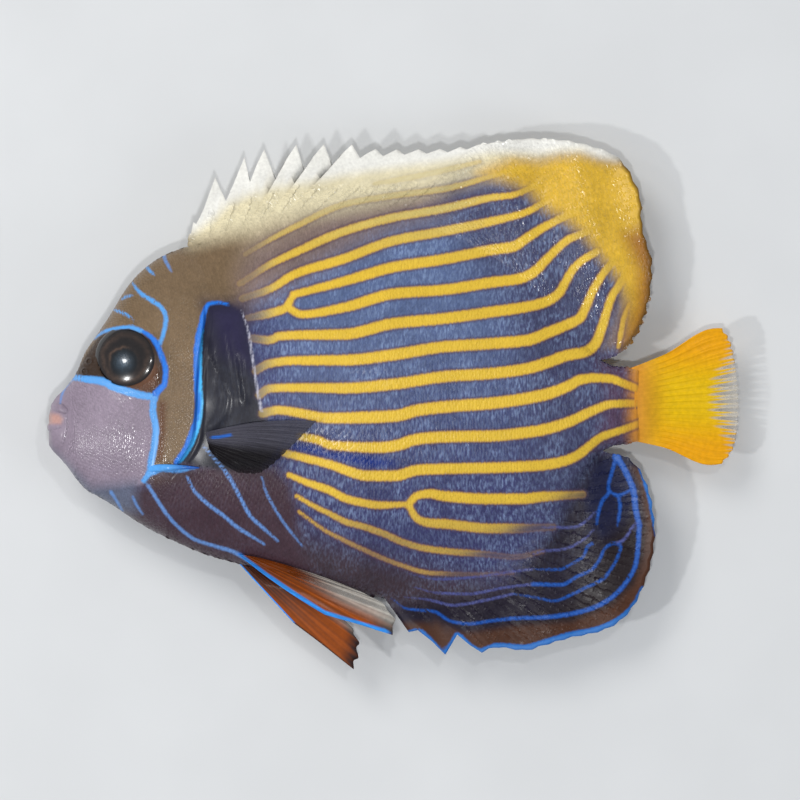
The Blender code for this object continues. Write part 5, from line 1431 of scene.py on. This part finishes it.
class FishColours(bpy.types.PropertyGroup):
    """The colours of the fish's markings, fins and eyes."""

    flank_low: tint("Lower flank", "Ground colour low on the flank", 56, 58, 99)
    flank_high: tint("Upper flank", "Ground colour high on the flank", 84, 100, 138)
    flank_front: tint("Front flank", "Ground colour behind the dark band", 50, 47, 94)
    flank_top: tint("Back", "Olive grey of the back", 154, 138, 112)
    flank_rear: tint("Rear flank", "Grey blue of the flank's rear", 60, 62, 94)
    flank_streak: tint("Flank streaks", "Pale blue of the short upright streaks", 132, 152, 186)
    peduncle: tint("Tail base", "Purple brown in front of the tail fin", 84, 62, 86)
    band_blue: tint("Band sheen", "Blue black of the band's upper part", 36, 32, 62)
    stripe_edge: tint("Stripe edge", "Orange brown along a stripe's edges", 186, 134, 58)
    haze: tint("Haze blue", "Dull blue of the thin lines from flank to anal fin", 78, 86, 150)
    royal: tint("Royal blue", "Strong blue behind the pectoral fin", 0, 38, 120)
    dusk: tint("Upper back", "Purple brown between the back's stripes", 122, 104, 98)
    anal_dark: tint("Anal fin rear", "Near black brown of the anal fin's rear", 30, 20, 24)
    cyan: tint("Cyan", "Light blue rear edge of the gill cover's line", 70, 188, 246)
    belly: tint("Belly", "Dark brown of the belly", 60, 46, 54)
    breast: tint("Breast", "Maroon of the breast", 64, 45, 54)
    nape: tint("Nape", "Olive brown of the forehead, nape and gill cover", 115, 95, 71)
    anal_inner: tint("Anal fin", "Dark ground of the anal fin", 26, 19, 36)
    anal_patch: tint("Anal fin patch", "Near black patch above the anal fin's corner", 14, 18, 52)
    anal_brown: tint("Anal fin margin", "Brown outer part of the anal fin", 72, 41, 24)
    band: tint("Band", "Dark band behind the gill cover", 31, 31, 41)
    cheek: tint("Cheek", "Pale mauve of the cheek and snout", 137, 124, 139)
    eye_patch: tint("Eye patch", "Dark brown round the eye", 54, 39, 28)
    eye_warm: tint("Warm eye patch", "Reddish brown behind and under the eye", 92, 58, 36)
    gum: tint("Lip patch", "Orange pink of the upper lip", 178, 138, 130)
    jaw_shade: tint("Chin", "Blue grey of the chin", 92, 98, 118)
    tail_root: tint("Tail root", "Orange where the tail fin starts", 206, 138, 44)
    tail_centre: tint("Tail", "Yellow of the tail fin", 222, 181, 6)
    tail_lobe: tint("Tail lobes", "Orange yellow of the tail fin's corners", 228, 160, 6)
    dorsal_cream: tint("Dorsal cream", "Cream foot of the dorsal fin's white", 214, 204, 170)
    dorsal_yellow: tint("Dorsal yellow", "Yellow rear of the dorsal fin", 212, 170, 46)
    dorsal_ochre: tint("Dorsal ochre", "Orange brown of the dorsal fin's rear corner", 150, 98, 20)
    dorsal_white: tint("Dorsal white", "White edge of the dorsal fin", 228, 227, 220)
    dorsal_rim: tint("Dorsal rim", "Dark brown rear rim of the dorsal fin", 100, 68, 18)
    stripe: tint("Stripes", "Yellow of the flank's stripes", 221, 184, 58)
    stripe_pale: tint("Pale stripes", "Cream of the stripes' front and upper ends", 194, 178, 112)
    stripe_dull: tint("Dull stripes", "Grey brown of the lowest stripes", 128, 110, 88)
    stripe_border: tint("Stripe border", "Purple brown beside each stripe", 78, 52, 74)
    bright: tint("Bright blue", "Blue of the gill cover's line and the eye ring's back", 0, 112, 218)
    sky: tint("Sky blue", "Blue of the cheek's lines", 80, 158, 230)
    pale: tint("Pale blue", "Blue of the breast's lines", 98, 142, 206)
    deep: tint("Deep blue", "Blue of the anal fin's inner lines", 0, 80, 172)
    rim: tint("Rim blue", "Blue of the anal fin's rim", 0, 102, 186)
    chalk: tint("Chalk line", "Whitish line behind the dark band", 186, 186, 202)
    pupil: tint("Pupil", "Blue black of the pupil", 30, 42, 52)
    iris: tint("Iris", "Dark olive brown of the iris", 26, 21, 20)
    iris_gold: tint("Iris gold", "Gold brown of the iris' broken rings", 70, 54, 44)
    orbit: tint("Eye rim", "Near black outer ring of the eye", 20, 16, 16)
    fin_clear: tint("Clear fin", "Grey white of the fins' clear tips", 214, 210, 200)
    pectoral: tint("Pectoral", "Smoky grey of the pectoral fins", 74, 73, 84)
    pectoral_dark: tint("Dark pectoral", "Near black lower part of the pectoral fins", 18, 14, 18)
    pelvic: tint("Pelvic", "Orange brown of the pelvic fins", 148, 70, 8)
    pelvic_fringe: tint("Pelvic fringe", "Dark fringe of the pelvic fins", 40, 24, 22)
    pelvic_line: tint("Pelvic line", "Blue of the pelvic spine", 48, 138, 225)

    def as_dict(self):
        """Every colour by its name, as an array."""
        return {name: np.array(tuple(getattr(self, name))) for name in self.__annotations__}


class StageSettings(bpy.types.PropertyGroup):
    """The floor, lights and camera."""

    floor_colour: tint("Floor", "Pale colour of the floor", 211, 213, 214)
    floor_width: bpy.props.FloatProperty(
        name="Floor width", description="Side of the square floor", default=3.0, min=0.5, unit="LENGTH",
    )
    view_centre: bpy.props.FloatVectorProperty(
        name="View centre", description="Point over which the camera hangs", default=(1.21 * MM, 0.61 * MM),
        size=2, unit="LENGTH",
    )
    view_width: bpy.props.FloatProperty(
        name="View width", description="Width of the view at the fish's middle", default=161.85 * MM,
        min=0.05, unit="LENGTH",
    )
    soft_light: bpy.props.FloatProperty(
        name="Soft light", description="Power of the large soft light", default=4.6, min=0, unit="POWER",
    )
    glint_light: bpy.props.FloatProperty(
        name="Glint light", description="Power of each small light that makes wet glints", default=0.9, min=0,
        unit="POWER",
    )


def marked(name, mesh, paint, material, slot, nodes=(), ground=None):
    """Makes a piece that holds the fish's markings.

    Where ground is given, it makes the piece's ground colour from the one found there, and the
    blue lines are left off.
    """
    points, quads, triangles = mesh
    shades, numbers = paint.at(points[:, 0], points[:, 1])
    if ground is not None:
        shades["ground"] = ground(shades["ground"])
        numbers["line"] = np.full(len(points), FAR)
    dress(new_mesh(name, points, quads, triangles, shades, numbers), material, slot, *nodes)


SKIN_NODES = (
    "head", "gill_cover_left", "gill_cover_right", "trunk", "tail_base", "dorsal_fin", "anal_fin",
)


class FISH_OT_skin(bpy.types.Operator):
    """Builds the one closed skin of head, gill covers, body, back fin and belly fin"""

    bl_idname = "fish.skin"
    bl_label = "Skin"

    def execute(self, context):
        colours = context.scene.fish_colours
        plan, half, quads, triangles, _ = skin_sheets(context.scene.fish_sizes.coat_depth / MM)
        x, y = plan.T
        points = np.concatenate([np.stack([x, y, sheet_height(x, y, half, side)], -1) for side, _ in SIDES])
        material = painted("fish_skin", colours, False, *SKIN_COAT)
        mesh = (points, *solid_skin(quads, triangles, len(plan)))
        marked("skin", mesh, Paint(colours.as_dict()), material, "flank_skin", SKIN_NODES)
        return {"FINISHED"}


def bare(x, y):
    """True where no scale grows: eye, snout's tip, nostrils, tail's root, dark band and whitish line."""
    eye = np.hypot(x - EYE_CENTRE[0], y - EYE_CENTRE[1]) < BARE_EYE
    snout = x < BARE_SNOUT_X - 0.15 * np.abs(y)
    nose = np.any([np.hypot(x - cx, y - cy) < BARE_NOSTRIL for cx, cy in NOSTRILS], axis=0)
    root = (x > BARE_TAIL[0]) & (np.abs(y) < BARE_TAIL[1])
    return eye | snout | nose | root | inside_path(x, y, BAND) | (from_path(x, y, CHALK)[0] < BARE_CHALK)


def grows(part, spines, column, row):
    """True where a part's scales grow: the nape's beyond the gill's opening, a fin's short of its rim."""
    if part == "nape":
        share = np.interp(row, np.arange(BODY_ROWS + 1), spread_rows())
        return (share < GILL_OPENING[0]) | (share > GILL_OPENING[3])
    if spines:
        out = np.where(column < spines * SPINE_COLUMNS, *FIN_SCALES_TO) + 0.03 * np.sin(2.4 * column)
        return row < out * FIN_ROWS
    return np.ones(len(row), bool)


class FISH_OT_scales(bpy.types.Operator):
    """Lays the scales of the head, gill covers, flanks and fins over the skin"""

    bl_idname = "fish.scales"
    bl_label = "Scales"

    def execute(self, context):
        sizes, colours = context.scene.fish_sizes, context.scene.fish_colours
        depth, rise = sizes.coat_depth / MM, sizes.scale_rise / MM
        grids = skin_sheets(depth)[-1]
        _, marks, _ = body_columns(spread_rows())
        widest = np.searchsorted(spread_rows(), WIDEST_SHARE)
        paint = Paint(colours.as_dict())
        dull = painted("flank_scale", colours, True, *DULL_COAT)
        wet = painted("wet_scale", colours, True, *WET_COAT)
        flank, head, fin = (
            [value / MM for value in pitch]
            for pitch in (sizes.flank_pitch, sizes.head_pitch, sizes.fin_pitch)
        )
        # Part, grid, its stretches of columns, spacing, middle row, lie, slot, material and spines
        parts = (
            ("flank", "body", [(marks[3], None)], flank, widest, 0.0, "flank_skin", dull, 0),
            ("head", "body", [(2, marks[1]), (marks[1], marks[2])], head, widest, 0.0, "head_skin", wet, 0),
            ("nape", "body", [(marks[2], marks[3])], head, BODY_ROWS - 12, 0.0, "head_skin", wet, 0),
            ("dorsal", "dorsal", [(0, None)], fin, 0, 0.8, "dorsal_skin", wet, 12),
            ("anal", "anal", [(0, None)], fin, 0, -0.8, "anal_skin", dull, 2),
        )
        for side, word in SIDES:
            for number, (part, grid, stretches, pitch, row, lie, slot, material, spines) in enumerate(parts):
                points = sheet_points(grids[grid], depth, side)
                places = np.concatenate([
                    scale_places(points, first, len(points) - 1 if last is None else last, *pitch, row)
                    for first, last in stretches
                ])
                places = places[grows(part, spines, *places.T)]
                along, across = reversed(pitch) if spines else pitch
                length, half_across = FIN_SCALE if spines else BODY_SCALE
                shape = (length * along, half_across * across, rise * SCALE_RISE[part])
                seed = 10 * number + side + 1
                piece = scale_coat(f"{part}_scales_{word}", points, places, shape, lie, side, paint, seed)
                dress(piece, material, slot)
        return {"FINISHED"}


class FISH_OT_eyes(bpy.types.Operator):
    """Builds both eyes as low domes, with a dark pupil and a broken gold ring"""

    bl_idname = "fish.eyes"
    bl_label = "Eyes"

    def execute(self, context):
        colours = context.scene.fish_colours.as_dict()
        finish = Finish(
            "wet_eye", Roughness=0.2, Coat_Weight=0.8, Coat_Roughness=0.07, Specular_IOR_Level=0.5,
        )
        shade = finish.step(finish.noise(1400, 3.0), 0.25, 0.75, 0.75, 1.25)
        finish.set("Base Color", finish.shaded(finish.colour_at("ground"), shade))
        for side, word in SIDES:
            mesh = eye_mesh(side)
            piece = new_mesh(f"eye_{word}_ball", *mesh, {"ground": eye_colour(mesh[0], colours)})
            dress(piece, finish.material, "eye", f"eye_{word}")
        return {"FINISHED"}


class FISH_OT_face(bpy.types.Operator):
    """Builds the lips, the nostrils and the cheek's spines"""

    bl_idname = "fish.face"
    bl_label = "Lips, nostrils and cheek spines"

    def execute(self, context):
        colours = context.scene.fish_colours.as_dict()
        paint = Paint(colours)
        material = painted("fish_lips", context.scene.fish_colours, False, *LIP_COAT)
        for name, front in (("upper_lip", UPPER_LIP), ("lower_lip", LOWER_LIP)):
            marked(name + "_flesh", lip_mesh(front), paint, material, "lip_skin", (name,))
        for side, word in SIDES:
            mesh = spine_mesh(side)
            blue = mix(colours["sky"], colours["deep"], ease(mesh[0][:, :1], *SPINE_SHADE))
            marked(f"cheek_spine_{word}", mesh, paint, material, "head_skin", ground=lambda found: blue)
            for place, centre in enumerate(NOSTRILS):
                mesh, shade = nostril_mesh(centre, side)
                # The nostril's pit is painted dark as shade
                painted_pit_shade = mix(0.12, 1.0, shade)[:, None]
                marked(f"nostril_{place + 1}_{word}", mesh, paint, material, "head_skin",
                       ground=lambda found: found * painted_pit_shade)
        return {"FINISHED"}


def fin_finish(name, roughness=0.55):
    """A wet fin whose cover falls where the mesh says that it is clear."""
    finish = Finish(name, Coat_Weight=0.04, Coat_Roughness=0.2, Specular_IOR_Level=0.2, Roughness=roughness)
    fine = finish.noise(1100, 3.0)
    shade = finish.step(fine, 0.25, 0.75, 0.92, 1.08)
    finish.set("Base Color", finish.shaded(finish.colour_at("ground"), shade))
    finish.set("Alpha", finish.math("SUBTRACT", 1.0, finish.number_at("clear")))
    finish.rise(fine, 0.5)
    return finish.material


def place_fin(node, leaf, colour, clear, material, slot):
    """Makes one fin from its mesh and what the upper face shows, which the lower face repeats."""
    shades = {"ground": np.tile(colour.reshape(-1, 3), (2, 1))}
    piece = new_mesh(node + "_rays", *leaf, None, shades, {"clear": np.tile(clear.ravel(), 2)})
    dress(piece, material, slot, node)


class FISH_OT_tail(bpy.types.Operator):
    """Builds the tail fin with its branched rays"""

    bl_idname = "fish.tail"
    bl_label = "Tail fin"

    def execute(self, context):
        leaf, colour, clear = tail_fin_mesh(context.scene.fish_colours.as_dict())
        place_fin("tail_fin", leaf, colour, clear, fin_finish("tail_web"), "tail_skin")
        return {"FINISHED"}


def pectoral_fin(side, edge, lifts, bow, shades):
    """A pectoral fin: smoky grey over near black, with a blue mark at its root and clear webs."""
    tips = path_through(edge)(np.linspace(0, 1, PECTORAL_RAYS))
    leaf, x, y, share, low, ridge = paired_fin_mesh(tips, PECTORAL_ROOT, 10, 0.2, bow, side, lifts, 0.1)
    dark = ease(low + 0.15 * share, 0.42, 0.7)[..., None]
    colour = mix(shades["pectoral"], shades["pectoral_dark"], dark) * (0.9 + 0.16 * ridge)[..., None]
    mark, _ = from_path(x, y, PECTORAL_MARK)
    colour = mix(shades["bright"], colour, mix(0.35, 1.0, ease(mark, 0.1, 0.5))[..., None])
    clear = ease(share, 0.15, 0.7) * (1 - 0.4 * ridge) * mix(0.42, 0.55, ease(low, 0.4, 0.7))
    return leaf, colour, clear


def pelvic_fin(side, shades):
    """A pelvic fin: orange brown rays with dark bands and fringe, a grey clear part and a blue spine."""
    fin = PELVICS[side]
    leaf, x, y, share, low, ridge = paired_fin_mesh(
        fin["tips"], fin["root"], 22, fin["notch"], fin["bow"], side, (0.0, 0.5), 0.22)
    strength, grey_from, grey_to = fin["grey"]
    grey = strength * ease(low, grey_from, grey_to)
    dark = fin["dark_root"] * (1 - 0.8 * ease(share, 0.2, 0.7)) + ease(share, fin["fringe"], 1.0)
    banded = 0.5 + 0.5 * np.sin(58 * low)
    fringe = np.clip(0.75 * dark + fin["bands"] * banded, 0, 1)
    colour = mix(shades["pelvic"], shades["pelvic_fringe"], fringe[..., None])
    pale = shades["fin_clear"] * (0.7 + 0.2 * share)[..., None]
    colour = mix(colour, pale, (0.9 * grey * ease(share, 0.35, 0.7))[..., None])
    lead, _ = from_path(x, y, fin["line"])
    colour = mix(shades["pelvic_line"], colour, ease(lead, 0.5 * fin["wide"], fin["wide"])[..., None])
    # The far fin's colour is painted brighter, as light that makes up for the shade of the body and near fin
    # over it
    colour = colour * (fin["painted_brightening"] * (0.82 + 0.24 * ridge))[..., None]
    return leaf, colour, grey * 0.72 * ease(share, 0.15, 0.5) * (1 - 0.5 * ridge)


class FISH_OT_paired_fins(bpy.types.Operator):
    """Builds the pectoral and pelvic fins of both sides"""

    bl_idname = "fish.paired_fins"
    bl_label = "Pectoral and pelvic fins"

    def execute(self, context):
        shades = context.scene.fish_colours.as_dict()
        pectoral, pelvic = fin_finish("pectoral_web"), fin_finish("pelvic_web", 0.6)
        for side, *fin in PECTORALS:
            place_fin(f"pectoral_fin_{dict(SIDES)[side]}", *pectoral_fin(side, *fin, shades), pectoral,
                      "pectoral_skin")
        for side, word in SIDES:
            place_fin(f"pelvic_fin_{word}", *pelvic_fin(side, shades), pelvic, "pelvic_skin")
        return {"FINISHED"}


class FISH_OT_stage(bpy.types.Operator):
    """Sets the pale floor, the soft lights and the camera straight above the fish"""

    bl_idname = "fish.stage"
    bl_label = "Floor, lights and camera"

    def execute(self, context):
        values = context.scene.stage_settings
        reach = values.floor_width / 2
        mesh = bpy.data.meshes.new("floor")
        corners = [(-reach, -reach, 0), (reach, -reach, 0), (reach, reach, 0), (-reach, reach, 0)]
        mesh.from_pydata(corners, [], [(0, 1, 2, 3)])
        floor = bpy.data.objects.new("floor", mesh)
        context.scene.collection.objects.link(floor)
        finish = Finish("pale_floor", Roughness=0.8, Specular_IOR_Level=0.2)
        grain = finish.step(finish.noise(25, 3.0), 0.3, 0.7, 0.98, 1.02)
        finish.set("Base Color", finish.shaded(opaque(values.floor_colour), grain))
        mesh.materials.append(finish.material)
        world = bpy.data.worlds.new("pale_room")
        world.use_nodes = True
        background = world.node_tree.nodes["Background"]
        background.inputs["Color"].default_value = ROOM_COLOUR
        background.inputs["Strength"].default_value = ROOM_STRENGTH
        context.scene.world = world
        groups = ((SOFT_LIGHTS, values.soft_light, False), (GLINTS, values.glint_light, True))
        for lights, power, mirrored in groups:
            for name, place, size, share, colour in lights:
                self.light(name, place, size, share * power, colour, mirrored)
        data = bpy.data.cameras.new("camera")
        data.lens = CAMERA_LENS
        data.sensor_width = CAMERA_SENSOR
        data.clip_start = 0.01
        camera = bpy.data.objects.new("camera", data)
        distance = values.view_width * CAMERA_LENS / CAMERA_SENSOR
        camera.location = (*values.view_centre, MID_LEVEL * MM + distance)
        context.scene.collection.objects.link(camera)
        context.scene.camera = camera
        context.scene.view_settings.view_transform = "Standard"
        return {"FINISHED"}

    def light(self, name, place, size, power, colour, mirrored):
        """One area light that faces the fish; where it isn't mirrored it gives no glints."""
        data = bpy.data.lights.new(name, "AREA")
        data.shape, data.size, data.energy, data.color = "DISK", size, power, colour
        light = bpy.data.objects.new(name, data)
        light.visible_glossy, light.visible_camera = mirrored, False
        light.location = place
        light.rotation_euler = (-light.location).to_track_quat("-Z", "Y").to_euler()
        bpy.context.scene.collection.objects.link(light)


STEPS = ("skin", "scales", "eyes", "face", "tail", "paired_fins", "stage")


class FISH_PT_panel(bpy.types.Panel):
    """Lists the fish's pieces, sizes and colours in the 3D view's sidebar"""

    bl_idname = "FISH_PT_panel"
    bl_label = "Emperor Angelfish"
    bl_space_type = "VIEW_3D"
    bl_region_type = "UI"
    bl_category = "Angelfish"

    def draw(self, context):
        for step in STEPS:
            self.layout.operator("fish." + step)
        for group in (context.scene.fish_sizes, context.scene.fish_colours, context.scene.stage_settings):
            box = self.layout.box()
            for name in group.__annotations__:
                box.prop(group, name)


GROUPS = {"fish_sizes": FishSizes, "fish_colours": FishColours, "stage_settings": StageSettings}
CLASSES = (
    FISH_OT_skin, FISH_OT_scales, FISH_OT_eyes, FISH_OT_face, FISH_OT_tail, FISH_OT_paired_fins,
    FISH_OT_stage, FISH_PT_panel,
)


def register():
    for name, group in GROUPS.items():
        bpy.utils.register_class(group)
        setattr(bpy.types.Scene, name, bpy.props.PointerProperty(type=group))
    for item in CLASSES:
        bpy.utils.register_class(item)


def unregister():
    for item in reversed(CLASSES):
        bpy.utils.unregister_class(item)
    for name, group in GROUPS.items():
        delattr(bpy.types.Scene, name)
        bpy.utils.unregister_class(group)


def main():
    """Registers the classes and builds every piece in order."""
    register()
    for step in STEPS:
        getattr(bpy.ops.fish, step)()


if __name__ == "__main__":
    main()
